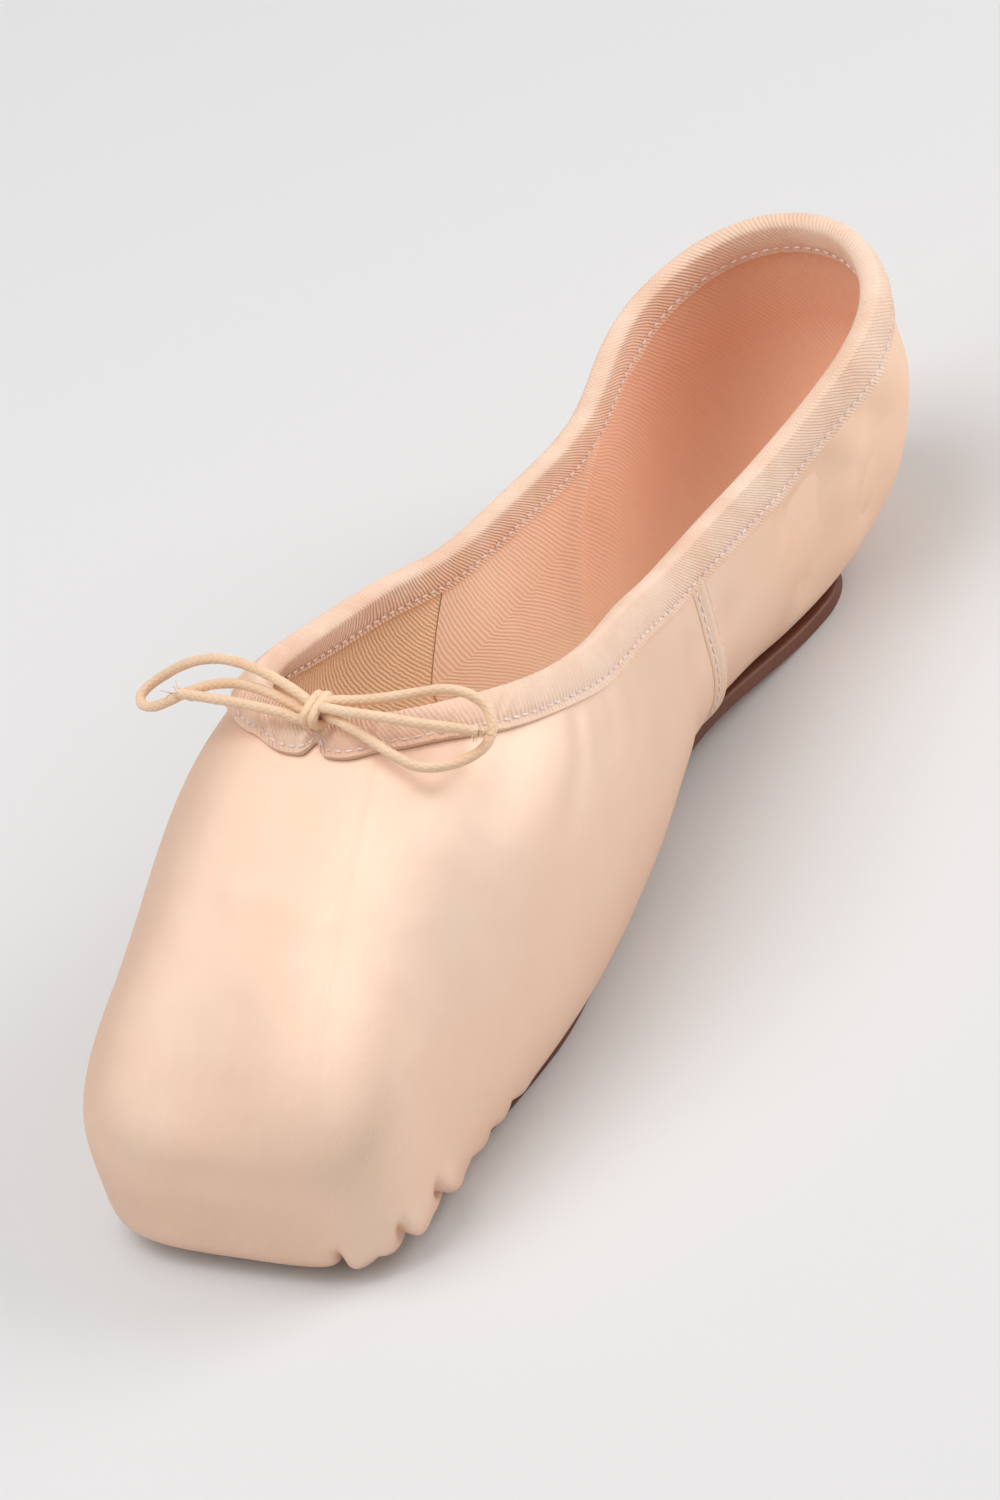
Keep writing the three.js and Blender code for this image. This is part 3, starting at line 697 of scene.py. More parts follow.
SATIN = cloth("satin", (0.94, 0.71, 0.565), (0.90, 0.645, 0.495), roughness=0.43, pitch=0.00042, slant=0.6,
              rib=0.24, waves=0.11, Metallic=0.36, Specular_IOR_Level=0.5, Coat_Weight=0.05, Coat_Roughness=0.45)
# Painted shade: a deeper orange at grazing angles, where the satin turns away from the view.
painted_edge_shade(SATIN, (0.80, 0.50, 0.34), 0.25)
# Painted shading: the satin turns a warmer, more orange tone towards the heel.
paint_heel_shading(SATIN, (1.0, 0.68, 0.48), 0.02, 0.12)
BINDING = cloth("binding", (0.97, 0.72, 0.565), (0.90, 0.60, 0.44), roughness=0.8, pitch=0.00085, slant=1.0,
                rib=0.9, scale=90.0, Sheen_Weight=0.15, Sheen_Roughness=0.5)
QUARTER_LINING = cloth("quarter_lining", (1.0, 0.75, 0.58), (0.95, 0.66, 0.48), roughness=0.8, pitch=0.0009,
                       slant=0.8, rib=0.5, Sheen_Weight=0.15, Sheen_Roughness=0.5)
# Painted shade: the lining darkens deep inside the heel.
paint_heel_shading(QUARTER_LINING, (0.88, 0.52, 0.36), 0.02, 0.1)
VAMP_LINING = cloth("vamp_lining", (0.97, 0.72, 0.49), (0.89, 0.64, 0.42), roughness=0.9, pitch=0.0009,
                    slant=0.5, rib=0.6)
INSOLE = cloth("insole_cloth", (0.98, 0.66, 0.49), (0.93, 0.59, 0.42), roughness=0.9, pitch=0.0009, slant=1.0,
               rib=0.4)
THREAD = cloth("thread", (0.92, 0.80, 0.77), (0.78, 0.63, 0.62), roughness=0.6, pitch=0.0004, slant=1.0, rib=0.3,
               scale=200.0)
SOLE_THREAD = cloth("sole_thread", (0.82, 0.76, 0.66), (0.72, 0.64, 0.54), roughness=0.6, pitch=0.0004, slant=1.0,
                    rib=0.3, scale=200.0)


LEATHER_MOTTLE = 45.0
PORE_SCALE = 900.0
PORE_DEPTH = 0.0003
GRAIN_SCALE = 160.0
GRAIN_DEPTH = 0.0006
LEATHER_RELIEF = 0.25


def make_leather(name, light, dark, roughness, hatch=False):
    """Leather with pores and a coarser grain, and where wanted the pressed hatch."""
    made, tree, shader = material(name, light, dark, roughness, LEATHER_MOTTLE)
    normal = bump(tree, shader, grain(tree, PORE_SCALE), LEATHER_RELIEF, PORE_DEPTH)
    if hatch:
        normal = press(tree, shader, normal)
    bump(tree, shader, grain(tree, GRAIN_SCALE), LEATHER_RELIEF, GRAIN_DEPTH, normal)
    return made


# The hatch pressed into the tread, in metres: its pitch, where it ends, its lines' half width, its slope and bow
HATCH_PITCH = 0.0082
HATCH_BACK = -0.028
HATCH_LINE = 0.00028
HATCH_SLOPE = 1.25
HATCH_BOW = 4.2
HATCH_END_BOW = 14.0
HATCH_EDGE = 0.0002
HATCH_DEPTH = 0.0006
PRESSED = (0.17, 0.06, 0.03, 1)


def groove(tree, away):
    """From 0 in the middle of a pressed line to 1 beside it."""
    return node(tree, "ShaderNodeMapRange", {"Value": away, "From Min": HATCH_LINE, "From Max": 2.4 * HATCH_LINE},
                interpolation_type="SMOOTHSTEP").outputs[0]


def press(tree, shader, below):
    """The diamonds pressed into the tread, up to a curved line across it."""
    place = node(tree, "ShaderNodeTexCoord")
    parts = node(tree, "ShaderNodeSeparateXYZ", {0: place.outputs["Object"]})
    x, y = parts.outputs[0], parts.outputs[1]
    square = maths(tree, "MULTIPLY", x, x)
    lines = []
    for side in (1.0, -1.0):
        slant = maths(tree, "MULTIPLY", x, HATCH_SLOPE * side)
        bow = maths(tree, "MULTIPLY", square, HATCH_BOW * side)
        along = maths(tree, "ADD", maths(tree, "ADD", y, slant), bow)
        lines.append(groove(tree, maths(tree, "PINGPONG", along, 0.5 * HATCH_PITCH)))
    end = maths(tree, "SUBTRACT", HATCH_BACK, maths(tree, "MULTIPLY", square, HATCH_END_BOW))
    past = maths(tree, "SUBTRACT", y, end)
    unpressed = node(tree, "ShaderNodeMapRange", {"Value": past, "From Min": -HATCH_EDGE, "From Max": HATCH_EDGE})
    border = groove(tree, maths(tree, "ABSOLUTE", past))
    diamonds = maths(tree, "MAXIMUM", maths(tree, "MULTIPLY", *lines), unpressed.outputs[0])
    height = maths(tree, "MULTIPLY", diamonds, border)
    base = shader.inputs["Base Color"].links[0].from_socket
    dark = node(tree, "ShaderNodeMix", {"Factor": height, "A": PRESSED, "B": base}, data_type="RGBA")
    tree.links.new(dark.outputs["Result"], shader.inputs["Base Color"])
    return bump(tree, shader, height, 0.9, HATCH_DEPTH, below)


SOLE_FACE = make_leather("sole_face", (0.60, 0.32, 0.19), (0.49, 0.25, 0.145), 0.6, hatch=True)
SOLE_EDGE = make_leather("sole_edge", (0.15, 0.045, 0.022), (0.10, 0.03, 0.015), 0.5)


BRAID_THREADS = 6
BRAID_PITCH = 0.0016


def make_elastic():
    """A round elastic: short threads braided round a core."""
    made, tree, shader = material("elastic", (0.93, 0.68, 0.47), (0.86, 0.58, 0.38), 0.5, 120.0, Sheen_Weight=0.1)
    place = node(tree, "ShaderNodeUVMap", uv_map="UVMap")
    parts = node(tree, "ShaderNodeSeparateXYZ", {0: place.outputs[0]})
    ribs = []
    for side in (1.0, -1.0):
        turn = maths(tree, "MULTIPLY", parts.outputs[1], side * 2 * math.pi * BRAID_THREADS)
        run = maths(tree, "MULTIPLY", parts.outputs[0], 2 * math.pi / BRAID_PITCH)
        ribs.append(maths(tree, "SINE", maths(tree, "ADD", run, turn)))
    bump(tree, shader, maths(tree, "MAXIMUM", *ribs), 0.35, 0.00015)
    return made


ELASTIC = make_elastic()


def plain(name, colour, roughness):
    made = bpy.data.materials.new(name)
    made.use_nodes = True
    shader = made.node_tree.nodes["Principled BSDF"]
    shader.inputs["Base Color"].default_value = (*colour, 1)
    shader.inputs["Roughness"].default_value = roughness
    return made


# Painted shade: near-black spots that stand for the shade inside the needle holes.
PAINTED_HOLE_SHADE = plain("needle_hole_shade", (0.02, 0.012, 0.01), 0.9)

# The drawstring's bow: the middle line of each stretch of cord, in millimetres from the knot's centre
ROUTES = {
    "loop_left": [
        (-2.9, 1, 1.5), (-6.1, 2.1, 2.4), (-10.1, 3.5, 3), (-14.6, 4.9, 3.3), (-19.1, 6.2, 3.1), (-24.1, 7.2, 2.5),
        (-29, 7.7, 1.1), (-33.5, 8.1, -1), (-37.2, 8, -3.1), (-40.1, 6.8, -4.7), (-41.1, 4.8, -5.5),
        (-39.9, 2.9, -5.8), (-37, 1.9, -5.3), (-32.9, 1.7, -3.5), (-28, 2, -1.1), (-22.6, 2.4, 0.8),
        (-17.1, 2.4, 1.6), (-11.6, 1.9, 1.1), (-6.5, 1, 0), (-2.8, 0.1, -0.8),
    ],
    "end_left": [
        (-2.8, -1.9, -0.9), (-6.1, -1.7, -0.2), (-10.1, -1.6, 0.3), (-15.1, -1.2, 0.5), (-20.1, -0.9, 0.5),
        (-24.2, -0.5, 0.4), (-28.2, -0.2, 0.3),
    ],
    "loop_right": [
        (2.7, 0.8, 1.4), (6.5, 1.3, 1.6), (10.5, 2, 1.8), (14.5, 3.1, 2), (18.6, 4.7, 2.1), (22.7, 6.8, 1.6),
        (26.4, 8.1, -0.3), (28.9, 7.9, -3), (30.2, 5.6, -5.4), (30, 2.2, -6.5), (28.1, -1.4, -6.5),
        (25.4, -4.3, -5.9), (21.9, -5.9, -5), (17.6, -5.6, -3.4), (13.1, -4.3, -2.1), (8.5, -2.8, -1.1),
        (5, -1.6, -0.7), (2.8, -1, -0.6),
    ],
    "end_right": [
        (2.7, -1.3, 1.6), (6.4, -1.5, 1.5), (10.9, -1.5, 1.3), (16, -1.2, 0.8), (21.1, -0.5, -0.2),
        (26.2, 0.6, -1.3), (30.4, 1.9, -2.7),
    ],
}
knot_y = -0.5 * LENGTH + VAMP_LENGTH - KNOT_FORWARD
knot_z = float(top_height(0, knot_y)) + GAP + BINDING_THICKNESS + KNOT_CLEAR + 0.5 * KNOT_HEIGHT
KNOT = np.array([0, knot_y, knot_z])
# How the dressed cord is drawn: points a stretch, sides, swell of its girth, and how far it is tucked into the knot
CORD_STEPS = 8
CORD_SIDES = 20
CORD_SWELL = 0.02
TUCK = 0.3
# The knot's two turns of cord: their reach along the shoe, upwards, and from one turn to the next
KNOT_ALONG = 3.3
KNOT_UP = 1.7
KNOT_PITCH = 2.5
# Loose threads at a bare end: how many, half thickness, shortest and longest, how they spread, scatter and curl,
# and the seed of each end
FRAY_THREADS = 14
FRAY_HALF = 0.13
FRAY_LENGTH = (1.2, 2.8)
FRAY_SPREAD = 0.55
FRAY_SCATTER = 0.45
FRAY_CURL = 0.5
FRAY_ROOT = 0.6
FRAY_SEED = {"left": 3, "right": 8}


def through(points, steps):
    """A centripetal Catmull-Rom line through the points."""
    p = np.asarray(points, float)
    p = np.concatenate([[2 * p[0] - p[1]], p, [2 * p[-1] - p[-2]]])
    out = []
    for i in range(1, len(p) - 2):
        apart = np.linalg.norm(np.diff(p[i - 1:i + 3], axis=0), axis=1) ** 0.5
        knots = np.concatenate([[0], np.cumsum(apart)])
        t = np.linspace(knots[1], knots[2], steps, endpoint=False)[:, None]
        a = [((knots[k + 1] - t) * p[i - 1 + k] + (t - knots[k]) * p[i + k]) / (knots[k + 1] - knots[k])
             for k in range(3)]
        b = [((knots[k + 2] - t) * a[k] + (t - knots[k]) * a[k + 1]) / (knots[k + 2] - knots[k]) for k in range(2)]
        out.append(((knots[2] - t) * b[0] + (t - knots[1]) * b[1]) / (knots[2] - knots[1]))
    out.append(p[-2:-1])
    return np.concatenate(out)


def tube(name, path, radius, sides, finish):
    """A closed tube along a path in millimetres; radius may change along it."""
    radius = np.broadcast_to(radius, len(path))
    tangent = unit(np.gradient(path, axis=0))
    side = unit(np.cross(tangent[0], [0, 0, 1.0]))
    turn = np.linspace(0, 2 * np.pi, sides, endpoint=False)[:, None]
    rings = []
    for p, t, r in zip(path, tangent, radius):
        side = unit(side - t * (side @ t))
        rings.append(p + r * (np.cos(turn) * side + np.sin(turn) * np.cross(t, side)))
    run = np.concatenate([[0], np.cumsum(np.linalg.norm(np.diff(path, axis=0), axis=1))]) * MM
    uv = np.stack(np.meshgrid(run, np.linspace(0, 1, sides + 1), indexing="ij"), -1)
    return surface(name, np.array(rings), wrap_v=True, uv=uv, material=finish, caps=True)


def knot_path():
    """Two turns of the cord over the strands, with both ends tucked underneath."""
    t = np.linspace(-0.5 * np.pi, 3.5 * np.pi, 110)
    x = KNOT_PITCH * (t / (3 * np.pi) - 0.5) + 0.35 * np.sin(t)
    y = KNOT_ALONG * np.cos(t) - 0.3
    return np.stack([x, y, KNOT_UP * np.sin(t) + 0.2 * np.cos(2 * t)], -1) + KNOT


def fray(path, seed):
    """Loose threads at the bare end of a cord."""
    rng = np.random.default_rng(seed)
    tip, ahead = path[-1], unit(path[-1] - path[-3])
    threads = []
    for _ in range(FRAY_THREADS):
        lean = unit(ahead + FRAY_SPREAD * rng.normal(size=3))
        reach = rng.uniform(*FRAY_LENGTH)
        start = tip - FRAY_ROOT * ahead + FRAY_SCATTER * rng.normal(size=3)
        t = np.linspace(0, 1, 7)[:, None]
        curl = FRAY_CURL * rng.normal(size=3)
        threads.append(start + t * reach * mix(ahead, lean, t) + t * t * curl)
    return threads


def add_bow():
    pieces = {}
    for name, route in ROUTES.items():
        tucked = [TUCK * np.array(route[0])] + route
        if name.startswith("loop"):
            tucked.append(TUCK * np.array(route[-1]))
        drawn = through(tucked, CORD_STEPS) + KNOT
        radius = 0.5 * CORD * (1 + CORD_SWELL * np.sin(np.linspace(0, 90, len(drawn))))
        piece = belongs(tube(name + "_cord", drawn, radius, CORD_SIDES, ELASTIC), "elastic", name)
        pieces[name] = (piece, through(route, CORD_STEPS) + KNOT)
    knot = belongs(tube("knot_cord", knot_path(), 0.5 * CORD, CORD_SIDES, ELASTIC), "elastic", "knot")
    for side, seed in FRAY_SEED.items():
        end, end_path = pieces["end_" + side]
        for i, thread in enumerate(fray(end_path, seed)):
            thin = FRAY_HALF * np.linspace(1, 0.6, len(thread))
            belongs(tube(f"fray_{side}_{i}", thread, thin, 5, ELASTIC), "elastic")


add_bow()


# The upper: one satin wall, and the linings inside it. The satin's back lies a little inside the wall.
UPPER_PLACES = 600
TOE_ZONE = 0.2
SATIN_BACK = 0.35
LINING_CLEAR = 0.05
LINING_LIFT = 0.22
LINING_THICKNESS = 0.18
LINING_LAP = 0.004
LINING_SEAM_TOP = 18.7
LINING_SEAM_LOW = 8.2
# The upright fold in the quarters' lining: depth, half width, its place at the collar, and its lean on the way down
FOLD_DEPTH = 1.3
FOLD_HALF = 3.0
FOLD_TOP = 70.0
FOLD_LEAN = 19.0


def places(count, toe_share=0.46):
    """Places round the shoe, closer together over the toe."""
    toe = np.linspace(-TOE_ZONE, TOE_ZONE, int(count * toe_share), endpoint=False)
    rest = np.linspace(TOE_ZONE, 2 - TOE_ZONE, count - len(toe), endpoint=False)
    return np.concatenate([toe, rest])


def add_upper():
    around = places(UPPER_PLACES)
    outside = ways_down((44, 64, 5))
    inside = np.concatenate([np.linspace(3, 2, 3), np.linspace(2, 0, 24)[1:]])
    a = around[:, None]
    outer = skin.at(a, outside[None, :], 0)
    wall = wall_at(skin.smooth(a, inside[None, :], 0)[..., 1])
    inner = skin.smooth(a, inside[None, :], -(wall - SATIN_BACK))
    grid = np.concatenate([outer, inner], 1)
    belongs(surface("satin_upper", grid, True, True, cloth_uv(grid, True, True), SATIN), "satin", "upper")


def add_linings():
    """The vamp's canvas reaches back to a seam before the waist; the quarters' lining carries on round the heel."""
    down = np.concatenate([np.linspace(0.03, 1, 34), np.linspace(1, 1.93, 24)[1:]])
    seam_y = mix(LINING_SEAM_TOP, LINING_SEAM_LOW, np.clip(down, 0, 1))
    seam = np.array([around_at(y, d) for y, d in zip(seam_y, down)])
    vamp = np.linspace(-1, 1, 150)[:, None] * (seam + LINING_LAP)
    quarter = 1 + np.linspace(-1, 1, 220)[:, None] * (1 - seam + LINING_LAP)
    for name, finish, around, lift in (("vamp_lining", VAMP_LINING, vamp, 0.0),
                                       ("quarter_lining", QUARTER_LINING, quarter, LINING_LIFT)):
        level = np.broadcast_to(down, around.shape)
        y = skin.smooth(around, level, 0)[..., 1]
        offset = -wall_at(y) - LINING_CLEAR - lift
        if lift:
            fold = FOLD_DEPTH * np.exp(-((y - FOLD_TOP + FOLD_LEAN * level) / FOLD_HALF) ** 2)
            offset = offset - fold * ease(0.1, 0.4, level)
        inner = skin.smooth(around, level, offset)
        outer = skin.smooth(around, level, offset + LINING_THICKNESS)
        ring = np.concatenate([inner, outer[:, ::-1]], 1)
        belongs(surface(name, ring, False, True, cloth_uv(ring, False, True), finish, caps=True), "lining", "upper")


def around_at(y, down):
    """The line over the near side of the skin that passes a place along the shoe, at a given way down."""
    half = np.linspace(0, 1, 401)
    return np.interp(y, skin.smooth(half, np.full(401, down), 0 * half)[:, 1], half)


def sole_edge(around):
    """How far down a line over the skin meets the outsole's outline."""
    down = np.linspace(1, 2, 201)
    line = skin.smooth(np.full(201, around), down, 0 * down)
    clear = sole_plan(-2 * GAP)
    inside = clear.gauge(line[:, 0], line[:, 1]) < 1
    return down[np.argmax(inside)] if inside.any() else 2.0


add_upper()
add_linings()


# The collar's binding, in millimetres
TAPE_PLACES = 900
STITCH_IN = 1.2
STITCH_GROOVE = 0.55
RIM_HEIGHT = 1.25
OUTER_PUFF = 0.55
OUTER_PRESS = 0.35
INNER_PUFF = 0.3
INNER_PRESS = 0.2
PUFF_START = 0.12
# The tape settles between these two places around; and over how many places of its grid and of its stitches
SETTLED = (0.16, 0.26)
SETTLE_TAPE = 7
SETTLE_STITCHES = 16
# Dips of the outer foot, up towards the rim: distance from the throat, depth, reach. A lobe has a negative depth.
FOOT_DIPS = [(0.0, 2.7, 1.3), (0.0, 0.9, 16.0), (6.0, -0.4, 3.0), (12.0, 0.35, 2.5)]
# Gathers: height everywhere, added height beside the knot, its reach, and the reach and share of the far side's
GATHER_LOW = 0.08
GATHER_HIGH = 0.5
GATHER_REACH = 34.0
FAR_GATHER_REACH = 75.0
FAR_GATHER_SHARE = 0.55


def binding_foot(around):
    """The outer foot of the binding, with its notch and the lobes beside it."""
    away = np.abs(around) * collar_line.total
    width = mix(THROAT_BINDING_WIDTH, BINDING_WIDTH, ease(0, THROAT_BINDING_REACH, np.abs(around)))
    return width - sum(depth * np.exp(-(((away - at) / reach) ** 2)) for at, depth, reach in FOOT_DIPS)


def gathers(around):
    """Ripples of the gathered tape, strongest beside the knot."""
    s = np.asarray(around) * collar_line.total
    far = FAR_GATHER_SHARE * (s < 0) * np.exp(-((np.abs(s) / FAR_GATHER_REACH) ** 4))
    near = np.maximum(np.exp(-((s / GATHER_REACH) ** 2)), far)
    fine = np.sin(s * 1.9 + 0.8 * np.sin(s * 0.31)) * (0.5 + 0.5 * np.sin(s * 0.57 + 1.3))
    return (GATHER_LOW + GATHER_HIGH * near) * fine


def leaf(around, k, to_stitches, puff, press, gather):
    """Height of a leaf of the tape over the wall, at k from its foot, 0, to the rim, 1: puffed, drawn in along the
    stitches, and gathered."""
    puffed = puff * np.sin(np.pi * np.clip((k - PUFF_START) / (1 - PUFF_START), 0, 1)) ** 0.8
    drawn = press * np.exp(-((to_stitches / STITCH_GROOVE) ** 2))
    return GAP + BINDING_THICKNESS + puffed - drawn + gather * gathers(around)


def outer_leaf(around, distance, foot):
    """The tape's outer face over the skin, at a distance from the rim."""
    k = 1 - distance / foot
    return leaf(around, k, distance - foot + STITCH_IN, OUTER_PUFF, OUTER_PRESS,
                np.sin(np.pi * np.minimum(1, k + PUFF_START)))


def inner_leaf(around, share):
    """The tape's inner face over the lining's side of the wall, from the rim, 0, to its inner foot, 1."""
    k = 1 - share
    return leaf(around, k, BINDING_INSIDE * k - STITCH_IN, INNER_PUFF, INNER_PRESS,
                0.6 * np.sin(np.pi * np.minimum(1, k + 0.1)))


def settle(points, around, reach):
    """Lets the tape run evenly past the throat: an average over some steps along the collar."""
    steps = np.arange(-3 * reach, 3 * reach + 1)
    weight = np.exp(-0.5 * (steps / reach) ** 2)
    even_run = sum(w * np.roll(points, k, axis=0) for w, k in zip(weight / weight.sum(), steps))
    share = ease(*SETTLED, np.abs(around)).reshape((-1,) + (1,) * (points.ndim - 1))
    return mix(points, even_run, share)


def binding_section(around):
    """Rings of points round the binding's section: the outer leaf, over the rim, and down inside."""
    foot = binding_foot(around)
    wall = wall_at(below_collar(around, 0.0, 0.0)[..., 1])
    top = GAP + BINDING_THICKNESS
    rise = RIM_HEIGHT + 0.3 * gathers(around)
    lift = 0.5 * GAP
    t = np.linspace(0, 1, 17)
    rows = [(mix(foot, 0, k), outer_leaf(around, mix(foot, 0, k), foot)) for k in t]
    for angle in np.linspace(0, np.pi, 11)[1:-1]:
        rows.append((-rise * np.sin(angle) ** 0.8, top - (1 - np.cos(angle)) * (0.5 * wall + top)))
    rows += [(BINDING_INSIDE * k, -wall - inner_leaf(around, k)) for k in t]
    rows.append((BINDING_INSIDE + 0.05, -wall - lift))
    rows += [(BINDING_INSIDE * k, -wall - lift) for k in np.linspace(1, 0, 4)]
    rows += [(foot * k, lift) for k in np.linspace(0, 1, 4)]
    rows.append((foot + 0.1, GAP))
    return np.stack([below_collar(around, distance, offset) for distance, offset in rows], 1)


def add_binding():
    around = places(TAPE_PLACES, 0.34)
    grid = settle(binding_section(around), np.where(around > 1, around - 2, around), SETTLE_TAPE)
    uv = cloth_uv(grid, True, True)
    belongs(surface("collar_tape", grid, True, True, uv, BINDING, crisp=70), "binding", "collar_binding")


add_binding()


# Strips over the skin: the side seams and the heel's ribbon
PACE_STEP = 0.002
STRIP_LIFT = 0.02
STRIP_HEIGHT = 0.55
# Where a strip starts, as a share of the way to the binding's foot, and its rows of stitches in half widths
SEAM_START = 0.9
SEAM_ROWS = (-0.62, 0.62)
SEAM_STEPS = 90
HEEL_START = 0.92
HEEL_ROWS = (-0.84, 0.84)
HEEL_STEPS = 110
HEEL_WAVE = 0.45


def across_strip(path, run, width, wave, share):
    """Places at shares of a strip's half width, at a share of its run. A wave makes its edges wander."""
    around, down = path(run)
    ahead, behind = (skin.smooth(around + step, down, 0) for step in (PACE_STEP, -PACE_STEP))
    pace = np.linalg.norm(ahead - behind) / (2 * PACE_STEP)
    k = run * HEEL_STEPS
    half = 0.5 * width + wave * (math.sin(0.55 * k) + 0.5 * math.sin(1.37 * k + 1))
    return around + half * share / pace, down


def strip_grid(path, width, face, steps, wave=0.0, shares=15):
    """A strip laid over the skin: face gives its height over the skin at a share of its half width."""
    share = np.linspace(1, -1, shares)
    rings = []
    for i in range(steps + 1):
        beside, down = across_strip(path, i / steps, width, wave, share)
        level = np.full(shares, down)
        rings.append(np.concatenate([skin.at(beside, level, face(share)),
                                     skin.at(beside[::-1], level, np.full(shares, STRIP_LIFT))]))
    return np.array(rings)


def under_binding(around):
    """How far down the binding's foot lies."""
    return (BINDING_WIDTH + 0.2) / skin.drop[np.argmin(np.abs(skin.around - around))]


def side_seam_path(side):
    top_y = -0.5 * LENGTH + SEAM_TOP
    high = SEAM_START * under_binding(around_at(top_y, 0.2))
    low = sole_edge(around_at(top_y - SEAM_LEAN, 1.8))

    def path(share):
        down = mix(high, low, share)
        return side * around_at(top_y - SEAM_LEAN * share, down), down

    return path


def strip_face(share, edge_power, rows, row_width, row_depth):
    """A strip's edges, drawn in along its rows of stitches."""
    drawn = sum(np.exp(-(((share - at) / row_width) ** 2)) for at in rows)
    return GAP * 0.3 + STRIP_HEIGHT * (1 - np.abs(share) ** edge_power) - row_depth * drawn


def seam_face(share):
    """A folded seam: a soft ridge between two sewn channels."""
    return strip_face(share, 6, SEAM_ROWS, 0.2, 0.22) + 0.55 * np.exp(-((share / 0.42) ** 2))


def heel_face(share):
    """A ribbon, barely domed, with a sewn channel near each edge."""
    return strip_face(share, 10, HEEL_ROWS, 0.07, 0.2) + 0.12 * (1 - share * share)


def heel_path(share):
    return 1.0, mix(HEEL_START * under_binding(1.0), sole_edge(1.0), share)


def add_strips():
    for name, side in (("right", 1), ("left", -1)):
        grid = strip_grid(side_seam_path(side), SEAM_WIDTH, seam_face, SEAM_STEPS)
        belongs(surface("seam_" + name, grid, False, True, cloth_uv(grid, False, True), SATIN, caps=True), "satin",
                "side_seam_" + name)
    grid = strip_grid(heel_path, HEEL_STRIP_WIDTH, heel_face, HEEL_STEPS, HEEL_WAVE, 41)
    belongs(surface("heel_ribbon", grid, False, True, cloth_uv(grid, False, True), SATIN, caps=True), "satin",
            "heel_strip")


add_strips()


# Outsole and insole. A face that looks down more steeply than this is part of the tread.
DOWNWARD = -0.75


def plate(name, inset, low, high, rounding, finishes, slot, replaced, count=260):
    """A flat piece cut to the outsole's outline, with rounded edges: rings of its outline from the middle of the top,
    over the edge, to the middle of the underside."""
    share = np.linspace(0, 1, count)
    quarter = np.linspace(0, 0.5 * np.pi, 6)
    flat = sole_plan(inset + rounding + 0.5).at(share)
    rows = [(flat * np.array([k, 1, 1]), high, 0.0) for k in np.linspace(0, 1, 9)]
    rows += [(sole_plan(inset + rounding * (1 - np.sin(a))).at(share), high, -rounding * (1 - np.cos(a)))
             for a in quarter]
    rows += [(sole_plan(inset).at(share), None, k) for k in (1 / 3, 2 / 3)]
    rows += [(sole_plan(inset + rounding * (1 - np.cos(a))).at(share), low, rounding * (1 - np.sin(a)))
             for a in quarter]
    rows += [(flat * np.array([k, 1, 1]), low, 0.0) for k in np.linspace(1, 0, 9)]
    grid = []
    for outline, level, shift in rows:
        y = outline[:, 1]
        z = level(y) + shift if level else mix(high(y) - rounding, low(y) + rounding, shift)
        right = np.stack([outline[:, 0], y, z], -1)
        grid.append(np.concatenate([right, right[-2:0:-1] * np.array([-1, 1, 1])]))
    grid = np.array(grid).transpose(1, 0, 2)
    uv = grid[np.arange(len(grid) + 1) % len(grid), :, :2] * MM
    made = surface(name, grid, True, False, uv, finishes[0], weld=1e-6)
    work = bmesh.new()
    work.from_mesh(made.data)
    bmesh.ops.recalc_face_normals(work, faces=work.faces)
    for face in work.faces:
        face.material_index = 0
        if len(finishes) > 1 and face.normal.z > DOWNWARD:
            face.material_index = 1
    work.to_mesh(made.data)
    work.free()
    for finish in finishes[1:]:
        made.data.materials.append(finish)
    return belongs(made, slot, replaced)


plate("leather_outsole", inset=0.0, low=sole_line, high=lambda y: sole_line(y) + OUTSOLE_THICKNESS, rounding=0.7,
      finishes=[SOLE_FACE, SOLE_EDGE], slot="outsole", replaced="outsole")


def insole_low(y):
    return underside(y) + wall_at(y) + GAP


plate("sock_insole", inset=TREAD_INSET - 0.4, low=insole_low, high=lambda y: insole_low(y) + INSOLE_THICKNESS,
      rounding=0.6, finishes=[INSOLE], slot="lining", replaced="insole")


